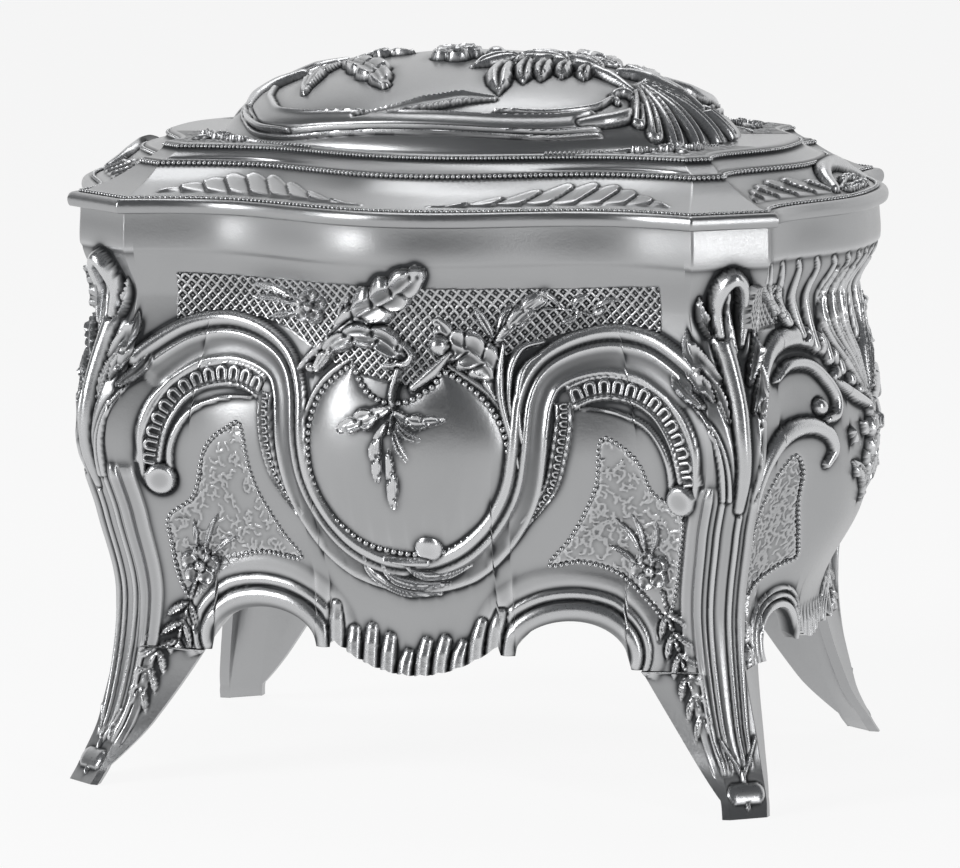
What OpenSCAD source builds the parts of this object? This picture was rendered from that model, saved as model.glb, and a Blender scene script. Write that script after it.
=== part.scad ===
/* [Heights] */
// Height of the body's top edge above the table
body_top = 106.5; // [104:0.5:109]
// Height of the straight neck's lower end
neck_z = 99; // [97:0.5:101]
// Height of the hollow under the neck
waist_z = 91; // [88:0.5:93]
// Height of the widest part of the belly
belly_z = 66; // [62:0.5:70]
// Height at which the belly has turned in under itself
under_z = 50; // [48:0.5:52]
// Height of the narrowest part of the legs
ankle_z = 34; // [32:0.5:36]
// Height of the bend above the toes
instep_z = 11; // [9:0.5:13]
// Height of the toes
toe_z = 2.5; // [2:0.1:3]

/* [Corner posts] */
// Where the middle of each canted corner lies at the lid's rim, along X
rim_mid_x = 60.75; // [59:0.25:62]
// The same along Y
rim_mid_y = 47.45; // [46:0.25:48.5]
// Width of the canted corner at the lid's rim
rim_cant = 17.2; // [15:0.2:18.4]
// Middle of the canted corner at the neck, along X
neck_mid_x = 59.3; // [58:0.1:60]
// The same along Y
neck_mid_y = 45.1; // [44.2:0.1:45.8]
// Width of the canted corner at the neck
neck_cant = 15; // [13:0.2:16]
// Middle of the canted corner at the waist, along X
waist_mid_x = 57.6; // [57:0.1:58.4]
// The same along Y
waist_mid_y = 42.6; // [42.2:0.1:43.6]
// Width of the canted corner at the waist
waist_cant = 13.8; // [12.6:0.2:14.4]
// Middle of the canted corner at the belly, along X
belly_mid_x = 61.2; // [60.4:0.1:62]
// The same along Y
belly_mid_y = 46.9; // [46:0.1:47.8]
// Width of the canted corner at the belly
belly_cant = 9.2; // [8.4:0.2:10]
// Middle of the canted corner under the belly, along X
under_mid_x = 58.3; // [57.8:0.1:59.2]
// The same along Y
under_mid_y = 43.3; // [42.6:0.1:44]
// Middle of the canted corner at the ankle, along X
ankle_mid_x = 56.3; // [55.4:0.1:57]
// The same along Y
ankle_mid_y = 39.3; // [38.6:0.1:40]
// Middle of the leg at the instep, along X
instep_mid_x = 60.3; // [59.6:0.1:61]
// The same along Y
instep_mid_y = 40.6; // [40:0.1:41.4]
// Middle of the leg at the toe, along X
toe_mid_x = 63.1; // [62.4:0.1:63.8]
// The same along Y
toe_mid_y = 45; // [44.2:0.1:45.8]
// Width of the leg's canted face below the belly
leg_cant = 8; // [7:0.2:9]
// Angle of the canted faces from the front
cant_angle = 39; // [36:1:42]
// How far a foot's sole runs out past the toe bend
sole_kick = 2.8; // [1.5:0.1:3.5]

/* [Walls] */
// Reach of the front's middle at the neck
neck_front = 59; // [58:0.1:60]
// Reach of the front's middle at the waist
waist_front = 54.6; // [54:0.1:56]
// Reach of the front's middle at the belly
belly_front = 57.4; // [56:0.1:58.6]
// Reach of the front's middle under the belly
under_front = 53.8; // [52.6:0.1:55]
// Reach of the front's middle at the ankle's height
ankle_front = 45.4; // [44.8:0.1:47]
// Reach of an end's middle at the neck
neck_end = 74.4; // [73:0.1:75.4]
// Reach of an end's middle at the waist
waist_end = 69.8; // [69:0.1:71]
// Reach of an end's middle at the belly
belly_end = 74.4; // [73:0.1:75.4]
// Reach of an end's middle under the belly
under_end = 72; // [71:0.1:73]
// Reach of an end's middle at the ankle's height
ankle_end = 64; // [63.4:0.1:65]
// Thickness of the cast walls
wall_t = 2; // [1.4:0.1:2.4]
// How deep the wave dips beside the bow, as a share of the bow
front_dip = 0.42; // [0.2:0.02:0.5]
// The same for the ends
end_dip = 0.12; // [0.04:0.02:0.2]
// Where the front's wave dips lowest, as a share of the half length
front_dip_at = 0.72; // [0.66:0.02:0.78]
// Where an end's wave dips lowest, as a share of the half depth
end_dip_at = 0.86; // [0.8:0.02:0.9]
// Gap left in the soldered seams and under loose pieces
seam_gap = 0.2; // [0.14:0.02:0.26]
// How far a leg wraps on to the walls beside it
post_return = 1.4; // [1.2:0.1:2]
// Height at which the walls meet the tops of the wide legs
springing_z = 25; // [24:0.5:26]

/* [Arches and apron] */
// Distance of a front arch from the middle
arch_x = 29.5; // [29:0.5:31]
// Half width of a front arch
arch_half = 10.5; // [9:0.5:11]
// Distance of an end arch from the middle
end_arch_y = 18.5; // [18:0.5:19]
// Half width of an end arch
end_arch_half = 7; // [6:0.5:7.5]
// Height at which the arches begin to curve in
arch_foot_z = 27; // [26:0.5:28]
// Height of the top of the arches
arch_top_z = 33.8; // [33:0.2:35]
// Lowest point of the fluted apron
apron_z = 22.7; // [21:0.2:24]
// Half width of the front apron
apron_half = 16; // [14:0.5:17]
// Half width of an end's apron
end_apron_half = 9; // [8:0.5:10]
// Width of one flute of the apron
flute_w = 4.4; // [4:0.2:6]
// Height of the flutes
flute_h = 0.7; // [0.3:0.1:1]
// Greatest width of the front of a leg under the wall
leg_front_w = 12.4; // [11:0.2:12.6]
// Greatest width of the end face of a leg under the wall
leg_end_w = 9.6; // [8:0.2:10]

/* [Raised work] */
// Height of the raised scrolls
scroll_h = 1.5; // [0.8:0.1:1.8]
// Width of the raised scrolls
scroll_w = 4.2; // [3:0.2:5]
// Height of the middle of the front's round shield
shield_z = 63; // [61:0.5:65]
// Radius of the front's round shield
shield_r = 18.5; // [16:0.5:19]
// How far the shield swells
shield_h = 1; // [0.4:0.1:1.4]
// Depth of the lattice and stippled grounds
ground_d = 0.5; // [0.2:0.1:0.7]
// Lower edge of the sunk lattice band
lattice_z = 84; // [83:0.5:87]
// Half length of the lattice band
lattice_half = 44; // [40:1:46]
// Distance of the sunk side panels' middles from the centre of the front
panel_x = 35; // [33:0.5:37]
// Height of the side panels' middles
panel_z = 54; // [52:0.5:57]
// Half height of the side panels
panel_r = 8.5; // [6:0.5:10]
// Height of the leaves and plumes of the ends
plume_h = 2; // [1:0.1:2.4]
// Height of the leaf on each canted corner
leaf_h = 2.2; // [1:0.1:2.4]
// Height of the raised band down each leg
rib_h = 0.9; // [0.4:0.1:1.2]

/* [Lid] */
// Reach of the lid's rim at the middle of the front
rim_front = 61.4; // [60.4:0.1:62.4]
// Reach of the lid's rim at the middle of an end
rim_end = 76.4; // [75.4:0.1:77.4]
// Height of the rim's upright edge
rim_h = 2.6; // [2.2:0.1:3.2]
// Height of the upper tier above the rim's underside
tier_h = 8.8; // [8:0.2:9.6]
// How far the upper tier's corners lie inside the rim's
tier_in = 7.7; // [7:0.1:8.4]
// Width of the canted corner at the upper tier
tier_cant = 6; // [4:0.2:8]
// Depth of the upper tier's dips, as a share of its bow
tier_dip = 0.27; // [0.1:0.02:0.4]
// How far the platform's corners lie inside the upper tier's
platform_in = 3; // [2.6:0.1:3.2]
// Width of the canted corner at the platform
platform_cant = 5; // [3:0.2:6]
// Depth of the platform's dips, as a share of its bow
platform_dip = 0.14; // [0.04:0.02:0.2]
// Height of the platform above the rim's underside
platform_h = 11.6; // [11.2:0.2:12.4]
// Height of the dome above the rim's underside
dome_h = 27; // [24:0.5:28]
// Half length of the oval dome
dome_a = 49; // [46:0.5:50]
// Half width of the oval dome
dome_b = 38; // [35:0.5:39]
// Thickness of the lid's casting
lid_t = 1.8; // [1.4:0.1:2.2]
// Shadow gap between the body and the lid
lid_gap = 0.2; // [0.1:0.05:0.4]
// How far the lid's flat underside runs in from the rim's edge
seat_w = 6; // [5:0.25:7]
// Rounding of the rim's upper edge
rim_round = 0.8; // [0.4:0.1:1.2]
// Width of the plain ledge inside the rim
ledge_w = 3; // [2.4:0.1:3.6]
// Height of the leaves on the lid's slope
slope_leaf_h = 1.3; // [0.6:0.1:1.6]
// Height of the leaves and scrolls on the dome
dome_leaf_h = 2; // [1:0.1:2.4]

/* [Hinge] */
// Length of the hinge
hinge_w = 26; // [20:1:32]
// Thickness of the hinge leaves
leaf_t = 0.8; // [0.6:0.1:1]
// Height of the body's hinge leaf
leaf_w = 7.2; // [6:0.2:8]
// Height of the lid's narrow hinge leaf
lid_leaf_w = 3; // [2.8:0.1:3.4]
// Radius of the hinge pin
pin_r = 0.75; // [0.6:0.05:0.9]
// Running clearance round the pin
pin_gap = 0.05; // [0.03:0.01:0.09]
// Radius of the hinge knuckles
knuckle_r = 1.5; // [1.4:0.05:1.7]
// Number of hinge knuckles
knuckles = 5; // [3:2:7]
// Gap between neighbouring knuckles
knuckle_gap = 0.2; // [0.1:0.05:0.4]
// Radius of the rivets' shanks
rivet_r = 0.6; // [0.5:0.05:0.7]
// Radius of the rivets' heads
rivet_head_r = 1.1; // [0.9:0.05:1.2]
// Height of the rivets' heads
rivet_head_h = 0.35; // [0.2:0.05:0.4]
// Length of the rivets in the castings
rivet_grip = 1.6; // [1.2:0.1:2]
// Spacing of the two rivets in a leaf
rivet_pitch = 21; // [19:0.5:22]

/* [Floor and lining] */
// Height of the sheet floor's underside
floor_z = 46; // [45:0.5:47]
// Clearance between the sheet floor's edge and the walls
floor_gap = 0.45; // [0.3:0.05:0.6]
// Thickness of the sheet floor
floor_t = 0.8; // [0.6:0.1:1.2]
// Half length of the lining, outside its cards
lining_x = 57; // [54:0.5:57]
// Half depth of the lining, outside its cards
lining_y = 39.4; // [37:0.2:39.6]
// Thickness of the lining's padded cards
card_t = 1.5; // [1.2:0.1:2]
// How far the cards stop below the body's top edge
card_drop = 3; // [2:0.5:6]
// Thickness of the padded floor
pad_t = 3; // [2:0.5:5]
// Thickness of the padded board in the lid
lid_card_t = 1.6; // [1.2:0.1:2]
// How far the lid's board sits above the rim's underside
lid_card_lift = 0.8; // [0.5:0.1:1.2]
// Clearance round soft pieces
soft_gap = 0.3; // [0.2:0.05:0.4]

/* [Hidden] */

rim_z = body_top + lid_gap;
cols = 40;
rows = 34;
end_cols = 30;
coarse = 2;
front_dip_power = 1.1;
end_dip_power = 1.35;
calm_h = 5;

sole_mid_x = toe_mid_x + 0.3 * sole_kick;
sole_mid_y = toe_mid_y + 0.9 * sole_kick;
toe_cant = leg_cant - 0.4;
sole_cant = leg_cant - 0.6;

// Stations of the body from the floor up: height, corner middle X and Y, canted width,
// reach of the front's middle, reach of an end's middle
body_line = [
    [0, sole_mid_x, sole_mid_y, sole_cant, ankle_front, ankle_end],
    [toe_z, toe_mid_x, toe_mid_y, toe_cant, ankle_front, ankle_end],
    [instep_z, instep_mid_x, instep_mid_y, leg_cant, ankle_front, ankle_end],
    [ankle_z, ankle_mid_x, ankle_mid_y, leg_cant, ankle_front, ankle_end],
    [under_z, under_mid_x, under_mid_y, leg_cant + 0.8, under_front, under_end],
    [belly_z, belly_mid_x, belly_mid_y, belly_cant, belly_front, belly_end],
    [waist_z, waist_mid_x, waist_mid_y, waist_cant, waist_front, waist_end],
    [neck_z, neck_mid_x, neck_mid_y, neck_cant, neck_front, neck_end],
    [body_top, neck_mid_x, neck_mid_y, neck_cant, neck_front, neck_end]
];

// Outlines of the lid: corner middle X and Y, canted width, reach of front, reach of end,
// and the depth of the front's dips as a share of its bow
rim_line = [rim_mid_x, rim_mid_y, rim_cant, rim_front, rim_end, front_dip];
tier_line = [
    rim_mid_x - tier_in, rim_mid_y - 1.4 * tier_in, tier_cant, rim_front - 1.6 * tier_in,
    rim_end - 1.5 * tier_in, tier_dip
];
platform_line = [
    tier_line[0] - platform_in, tier_line[1] - 1.25 * platform_in, platform_cant,
    tier_line[3] - 2 * platform_in, tier_line[4] - 1.7 * platform_in, platform_dip
];

// Slope of a column of the stations at one of them
function station_slope(t, i, c) =
    let (lo = max(i - 1, 0), hi = min(i + 1, len(t) - 1))
    (t[hi][c] - t[lo][c]) / (t[hi][0] - t[lo][0]);

// The station below a height
function below(t, z, i = 0) = (i >= len(t) - 2 || z < t[i + 1][0]) ? i : below(t, z, i + 1);

// Smooth value of one column of the stations at a height
function smooth(t, z, c) =
    let (i = below(t, z), h = t[i + 1][0] - t[i][0], s = (z - t[i][0]) / h)
    let (m0 = h * station_slope(t, i, c), m1 = h * station_slope(t, i + 1, c))
    t[i][c] * (1 + 2 * s) * pow(1 - s, 2) + m0 * s * pow(1 - s, 2)
    + t[i + 1][c] * s * s * (3 - 2 * s) + m1 * s * s * (s - 1);

// The body's outline at a height, in the form of the lid's outlines below
function body_at(z) = concat([for (c = [1 : 5]) smooth(body_line, z, c)], [front_dip]);

// The two ends of a canted corner
function corner_a(o) = [o[0] - o[2] / 2 * cos(cant_angle), o[1] + o[2] / 2 * sin(cant_angle)];
function corner_b(o) = [o[0] + o[2] / 2 * cos(cant_angle), o[1] - o[2] / 2 * sin(cant_angle)];

// A bow in the middle, a dip beside it and level ends, for u from -1 to 1
function wave(u, bow, dip, where, power) =
    let (v = min(abs(u), 1))
    v < where ? (bow - dip) / 2 + (bow + dip) / 2 * cos(180 * pow(v / where, power))
              : -dip * cos(90 * (v - where) / (1 - where));

// Reach of the front at x, and of an end at y, on an outline
function front_at(o, x) =
    let (a = corner_a(o), bow = o[3] - a[1])
    a[1] + wave(x / a[0], bow, bow * o[5], front_dip_at, front_dip_power);
function end_at(o, y) =
    let (b = corner_b(o), bow = o[4] - b[0])
    b[0] + wave(y / b[1], bow, bow * end_dip, end_dip_at, end_dip_power);

// An outline drawn in by d all round: how far the corner's middle moves, and how much its face narrows
corner_in = [0.685, 0.75, 0.8];
function inset(o, d) = [
    o[0] - corner_in[0] * d, o[1] - corner_in[1] * d, o[2] - corner_in[2] * d, o[3] - d, o[4] - d, o[5]
];
function between(o, p, s) = [for (i = [0 : 5]) o[i] * (1 - s) + p[i] * s];

// Points all round an outline, the same number for each; the back half repeats the front half
ring_front = 26;
ring_end = 18;
ring_cant = 2;
ring_n = 2 * (ring_front + ring_end) + 4 * ring_cant;
function side_cuts(n) = [for (i = [0 : n - 1]) -1 + 2 * i / n];
function cant_points(p, q) = [for (i = [0 : ring_cant - 1]) p + (q - p) * i / ring_cant];
function half_ring(o) =
    let (a = corner_a(o), b = corner_b(o))
    concat(
        [for (u = side_cuts(ring_front)) [u * a[0], -front_at(o, u * a[0])]],
        cant_points([a[0], -a[1]], [b[0], -b[1]]),
        [for (u = side_cuts(ring_end)) [end_at(o, u * b[1]), u * b[1]]],
        cant_points(b, a)
    );
function ring(o) =
    let (half = half_ring(o))
    concat(half, [for (p = half) -p]);

// A round ridge: 1 on its line and 0 at half its width away
function ridge(d, w) = abs(d) < w / 2 ? cos(180 * d / w) : 0;

// Distance from a point to a straight piece, and to a line of points
function piece_gap(p, a, b) =
    let (d = b - a, s = min(max(((p - a) * d) / (d * d), 0), 1))
    norm(p - a - s * d);
function line_gap(p, line) = min([for (i = [0 : len(line) - 2]) piece_gap(p, line[i], line[i + 1])]);

// Share of the full height at a point, over a set of raised lines: points, width, share of each
function raised(p, lines) = max([for (l = lines) l[2] * ridge(line_gap(p, l[0]), l[1])]);

// Raised lines drawn in hundredths of two lengths, in millimetres
function drawn(lines, across, up) =
    [for (l = lines) [[for (q = l[0]) [q[0] * across / 100, q[1] * up / 100]], l[1], l[2]]];

// Lower edge of the front and of an end
function front_edge(x) =
    let (v = abs(x))
    v < apron_half ? apron_z + (arch_foot_z + 2 - apron_z) * pow(v / apron_half, 2)
    : abs(v - arch_x) < arch_half
        ? arch_foot_z + (arch_top_z - arch_foot_z) * sqrt(1 - pow((v - arch_x) / arch_half, 2))
    : v < arch_x ? arch_foot_z
    : springing_z + seam_gap;
function end_edge(y) =
    let (v = abs(y))
    v < end_apron_half ? apron_z + 3 + (arch_foot_z - 1 - apron_z) * pow(v / end_apron_half, 2)
    : abs(v - end_arch_y) < end_arch_half
        ? arch_foot_z + (arch_top_z - arch_foot_z) * sqrt(1 - pow((v - end_arch_y) / end_arch_half, 2))
    : v < end_arch_y ? arch_foot_z
    : springing_z + seam_gap;

// Round moulding over an arch and the flatter one outside it, from its middle and half width
roll_out = 2.2;
outer_roll_out = 6.2;
function arch_line(middle, half, out) =
    let (across = half + out, up = arch_top_z - arch_foot_z + out)
    [for (a = [0 : 30 : 180]) [middle + across * cos(a), arch_foot_z + up * sin(a)]];
function arch_lines(middle, half) = [
    [arch_line(middle, half, roll_out), 5, 1.1],
    [arch_line(middle, half, outer_roll_out), 4.6, 0.7]
];
front_arch = arch_lines(arch_x, arch_half);
end_arch = arch_lines(end_arch_y, end_arch_half);

// The front's left half, drawn in hundredths of the neck's half length and of the body's height:
// large scroll down beside the shield, the hook under it, the scroll's lower lip, the outer rim of
// the side panel, the rose above the leg
front_half = drawn([
    [[[-84, 75], [-73, 79], [-61, 81], [-50, 80], [-41, 78], [-35, 74], [-33, 67]], 5.8, 1],
    [[[-33, 67], [-31, 56], [-22, 48], [-13, 43], [-2, 41]], 5.8, 1],
    [[[-86, 56], [-85, 63], [-80, 68], [-70, 72], [-58, 74], [-46, 71], [-43, 66]], 5, 0.9],
    [[[-43, 66], [-42, 60], [-39, 54], [-33, 48], [-26, 43], [-17, 39], [-2, 36]], 4.6, 0.8],
    [[[-80, 47], [-75, 33], [-57, 40], [-36, 41]], 4.6, 0.8],
    [[[-71, 39], [-68, 44]], 9.6, 0.9]
], neck_mid_x, body_top);

// The front's own work in its middle: leaf over the shield, its curl, the leaf on the right and its
// fall, the spray on the shield and the scroll under it
front_middle = drawn([
    [[[-25, 78], [-18, 82], [-8, 86], [6, 90]], 7.2, 0.9],
    [[[-26, 75], [-21, 79], [-13, 81], [-4, 80], [2, 78]], 4.6, 0.9],
    [[[31, 71], [28, 75], [22, 78], [16, 80]], 5.6, 0.9],
    [[[40, 79], [35, 75], [34, 69], [38, 61]], 4.6, 0.8],
    [[[-1, 71], [0, 69], [-1, 62], [0, 54]], 4, 1],
    [[[-15, 66], [0, 69], [14, 67]], 4.8, 1],
    [[[-11, 42], [-2, 39], [10, 39], [21, 42]], 6.4, 1]
], neck_mid_x, body_top);

// Height of the front's raised work at a point of the wall
function front_relief(x, z) =
    let (v = abs(x), r = norm([x, z - shield_z]))
    let (high = max([
        r < shield_r ? shield_h * (1 - pow(r / shield_r, 2)) : 0,
        scroll_h * ridge(r - shield_r - 1, scroll_w),
        scroll_h * raised([v, z], front_arch),
        v < apron_half && z < arch_top_z ? flute_h * (1 + cos(360 * x / flute_w)) / 2 : 0,
        scroll_h * raised([-v, z], front_half),
        scroll_h * raised([x, z], front_middle)
    ]))
    let (lattice = z > lattice_z && v < lattice_half, panel = norm([v - panel_x, z - panel_z]) < panel_r)
    z > waist_z + calm_h ? 0 : high > 0 ? high : lattice || panel ? -ground_d : 0;

// One half of an end, drawn in hundredths of the neck's half depth and of the body's height: band
// scroll, hooded scroll and its hook, two long plumes, the fold under them, the leaf in the middle,
// its side leaf and the low row of plumes under the neck
end_half = drawn([
    [[[-93, 47], [-87, 53], [-79, 59], [-66, 63], [-52, 64], [-41, 63], [-37, 60]], 4.8, 0.85],
    [[[-83, 72], [-73, 76], [-61, 79], [-47, 80], [-34, 77], [-25, 74]], 5.6, 1],
    [[[-68, 73], [-57, 75], [-45, 75], [-37, 72], [-33, 68], [-41, 65]], 3.8, 0.8],
    [[[-29, 90], [-30, 81], [-20, 74], [-4, 68]], 4.6, 1],
    [[[-12, 90], [-14, 80], [-9, 74], [-2, 68]], 4.6, 1],
    [[[-30, 71], [-18, 68], [-4, 66]], 3.8, 0.85],
    [[[0, 49], [0, 60], [0, 68]], 7.6, 1],
    [[[-2, 51], [-10, 54], [-21, 57]], 4, 0.75],
    [[[-80, 91], [-62, 88], [-44, 84]], 9.6, 0.5]
], neck_mid_y, body_top);

// Height of an end's raised work at a point of the wall
function end_relief(y, z) =
    let (v = abs(y))
    z > waist_z + calm_h ? 0
    : max([
        plume_h * raised([-v, z], end_half),
        0.8 * scroll_h * raised([v, z], end_arch),
        v < end_apron_half && z < arch_top_z ? flute_h * (1 + cos(360 * y / flute_w)) / 2 : 0
    ]);

// Faces of a shell between a fine outer grid and a coarse inner one, n by m cells
function grid_faces(n, m, k) =
    let (first = (n + 1) * (m + 1), ni = n / k, mi = m / k)
    let (outer = function (i, j) j * (n + 1) + i)
    let (inner = function (i, j) first + j * (ni + 1) + i)
    let (low = function (i) [for (s = [0 : k]) outer(i * k + s, 0)])
    let (high = function (i) [for (s = [0 : k]) outer(i * k + k - s, m)])
    let (left = function (j) [for (s = [0 : k]) outer(0, j * k + k - s)])
    let (right = function (j) [for (s = [0 : k]) outer(n, j * k + s)])
    concat(
        [for (j = [0 : m - 1], i = [0 : n - 1]) [outer(i, j), outer(i + 1, j + 1), outer(i + 1, j)]],
        [for (j = [0 : m - 1], i = [0 : n - 1]) [outer(i, j), outer(i, j + 1), outer(i + 1, j + 1)]],
        [for (j = [0 : mi - 1], i = [0 : ni - 1]) [inner(i, j), inner(i + 1, j), inner(i + 1, j + 1)]],
        [for (j = [0 : mi - 1], i = [0 : ni - 1]) [inner(i, j), inner(i + 1, j + 1), inner(i, j + 1)]],
        [for (i = [0 : ni - 1]) each edge_fan(low(i), inner(i, 0), inner(i + 1, 0))],
        [for (i = [0 : ni - 1]) each edge_fan(high(i), inner(i + 1, mi), inner(i, mi))],
        [for (j = [0 : mi - 1]) each edge_fan(left(j), inner(0, j + 1), inner(0, j))],
        [for (j = [0 : mi - 1]) each edge_fan(right(j), inner(ni, j), inner(ni, j + 1))]
    );
function edge_fan(line, a, b) =
    concat([for (s = [0 : len(line) - 2]) [line[s], line[s + 1], a]], [[line[len(line) - 1], b, a]]);

// A wall facing the front: outer and inner points of its grid
function front_grid(n, m, inner) = [
    for (j = [0 : m], i = [0 : n])
        let (u = -1 + 2 * i / n, edge = front_edge(u * wall_end_x(springing_z)))
        let (z = edge + (body_top - edge) * j / m, x = u * wall_end_x(z), o = body_at(z))
        let (on_edge = i == 0 || i == n || j == m)
        [x, -front_at(o, x) + (inner ? wall_t : on_edge ? 0 : -front_relief(x, z)), z]
];
function wall_end_x(z) = corner_a(body_at(z))[0] - post_return - seam_gap;
function end_grid(n, m, inner) = [
    for (j = [0 : m], i = [0 : n])
        let (u = -1 + 2 * i / n, edge = end_edge(u * wall_end_y(springing_z)))
        let (z = edge + (body_top - edge) * j / m, y = u * wall_end_y(z), o = body_at(z))
        let (on_edge = i == 0 || i == n || j == m)
        [end_at(o, y) + (inner ? -wall_t : on_edge ? 0 : end_relief(y, z)), y, z]
];
function wall_end_y(z) = corner_b(body_at(z))[1] - post_return - seam_gap;

module long_wall() {
    polyhedron(
        concat(front_grid(cols, rows, false), front_grid(cols / coarse, rows / coarse, true)),
        grid_faces(cols, rows, coarse),
        convexity = 8
    );
}

module short_wall() {
    polyhedron(
        concat(end_grid(end_cols, rows, false), end_grid(end_cols / coarse, rows / coarse, true)),
        grid_faces(end_cols, rows, coarse),
        convexity = 8
    );
}

// Width of the strip that a leg lays on the wall beside it, or of the leg's own face below the walls
strip_foot_z = 3;
strip_power = 0.9;
function strip(z, widest) =
    let (s = max(z - strip_foot_z, 0) / (springing_z - strip_foot_z))
    z > springing_z ? post_return : post_return + (widest - post_return) * pow(s, strip_power);

// Height of the leaf on a canted corner, and of the band that runs down from it
function leaf_swell(z) =
    let (s = (z - under_z) / (waist_z + leaf_over - under_z))
    max(leaf_h * sin(180 * min(max(s, 0), 1)), z < body_top - rib_drop ? rib_h : 0);
leaf_over = 3;
rib_drop = 12;

// One ring of points round a leg at a height, for the leg at +X and -Y
shoulder = 0.7;
back_cut = 0.37;
function leg_ring(z) =
    let (o = body_at(z), a = corner_a(o), b = corner_b(o), t = wall_t)
    let (wf = strip(z, leg_front_w), we = strip(z, leg_end_w))
    let (p = [a[0], -a[1]], q = [b[0], -b[1]], out = [sin(cant_angle), -cos(cant_angle)])
    let (swell = leaf_swell(z))
    let (mid = function (s, h) p + (q - p) * s + out * h)
    let (f = function (w) [a[0] - w, -front_at(o, a[0] - w)])
    let (e = function (w) [end_at(o, b[1] - w), -b[1] + w])
    [for (v = [
        f(wf), f(wf / 2), p, mid(0.25, swell * shoulder), mid(0.5, swell), mid(0.75, swell * shoulder),
        q, e(we / 2), e(we),
        e(we) - [t, 0], e(max(we / 2, t / 2 + 0.1)) - [t, 0], q + [-t, t / 2],
        p + [-back_cut * t, t], f(max(wf / 2, t / 2 - 0.1)) + [0, t], f(wf) + [0, t]
    ]) [v[0], v[1], z]];
leg_n = 15;
leg_step = 3;
leg_heights = concat(
    [0, toe_z / 2],
    [for (k = [0 : 3]) toe_z + (instep_z - toe_z) * k / 3],
    [for (k = [1 : 3]) instep_z + (springing_z - instep_z) * k / 3],
    [springing_z + seam_gap, (springing_z + ankle_z) / 2, ankle_z],
    [for (z = [ankle_z + leg_step : leg_step : body_top - 2]) z],
    [body_top]
);

// A closed solid through rings of n points each, listed anticlockwise from above
function band_faces(low, high, n) = concat(
    [for (i = [0 : n - 1]) let (j = (i + 1) % n) [low + i, high + j, low + j]],
    [for (i = [0 : n - 1]) let (j = (i + 1) % n) [low + i, high + i, high + j]]
);
function ring_faces(count, n) = [for (k = [0 : count - 2]) each band_faces(k * n, k * n + n, n)];

module corner_leg() {
    points = [for (z = leg_heights, p = leg_ring(z)) p];
    last = (len(leg_heights) - 1) * leg_n;
    polyhedron(
        points,
        concat(
            ring_faces(len(leg_heights), leg_n),
            [[for (i = [0 : leg_n - 1]) i]],
            [[for (i = [0 : leg_n - 1]) last + leg_n - 1 - i]]
        ),
        convexity = 6
    );
}

module front_wall() {
    color("darkgray") long_wall();
}

module back_wall() {
    color("darkgray") rotate([0, 0, 180]) difference() {
        union() {
            long_wall();
            hinge_pad();
        }
        hinge_seat();
    }
}

module right_wall() {
    color("darkgray") short_wall();
}

module left_wall() {
    color("darkgray") rotate([0, 0, 180]) short_wall();
}

module front_right_leg() {
    color("gray") corner_leg();
}

module front_left_leg() {
    color("gray") mirror([1, 0, 0]) corner_leg();
}

module rear_right_leg() {
    color("gray") mirror([0, 1, 0]) corner_leg();
}

module rear_left_leg() {
    color("gray") rotate([0, 0, 180]) corner_leg();
}

// Plane of the flat that the hinge leaves lie on, and the place of the pin
pin_y = rim_front - knuckle_r;
leaf_clear = 0.06;
knuckle_clear = 0.15;
seat_y = pin_y - knuckle_r - leaf_t - leaf_clear - knuckle_clear;
seat_margin = 0.3;
seat_below = 1.2;
seat_half = hinge_w / 2 + seat_margin;
hole_r = rivet_r + 0.02;

// The pad in the back wall that the leaf is riveted to, before the wall is turned round
module hinge_pad() {
    translate([-seat_half, -seat_y - 0.1, body_top - leaf_w - seat_below])
        cube([2 * seat_half, rivet_grip + 0.1, leaf_w + seat_below]);
}

// The flat cut in the back wall and the rivet holes through it
module hinge_seat() {
    translate([-seat_half, -neck_front - 3, body_top - leaf_w - seat_below])
        cube([2 * seat_half, neck_front + 3 - seat_y, leaf_w + 2]);
    for (s = [-1, 1])
        translate([s * rivet_pitch / 2, -seat_y - 2, rivet_z(-1)])
            rotate([-90, 0, 0]) cylinder(r = hole_r, h = 2 * rivet_grip + 4, $fn = 24);
}

module base_plate() {
    o = inset(body_at(floor_z), wall_t + floor_gap);
    color("dimgray") translate([0, 0, floor_z]) linear_extrude(floor_t) polygon(ring(o));
}

inner_x = lining_x - card_t;
inner_y = lining_y - card_t;
card_z = floor_z + floor_t + seam_gap;
card_h = body_top - card_drop - card_z;

module floor_pad() {
    color("maroon")
        translate([-inner_x + soft_gap, -inner_y + soft_gap, card_z])
            cube([2 * (inner_x - soft_gap), 2 * (inner_y - soft_gap), pad_t]);
}

module long_card(side) {
    y = side > 0 ? lining_y - card_t : -lining_y;
    color("maroon") translate([-lining_x, y, card_z]) cube([2 * lining_x, card_t, card_h]);
}

module short_card(side) {
    x = side > 0 ? lining_x - card_t : -lining_x;
    color("firebrick") translate([x, -inner_y + seam_gap, card_z])
        cube([card_t, 2 * (inner_y - seam_gap), card_h]);
}

module front_lining() {
    long_card(-1);
}

module back_lining() {
    long_card(1);
}

module left_lining() {
    short_card(-1);
}

module right_lining() {
    short_card(1);
}

// Outline of the slope's foot, and the middle of the slope's height
slope_foot = inset(rim_line, ledge_w);
slope_mid = between(slope_foot, tier_line, 0.5);
slope_top = 0.94;
slope_cuts = [0.2, 0.4, 0.6, 0.8, slope_top];
slope_power = 1.5;

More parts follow.
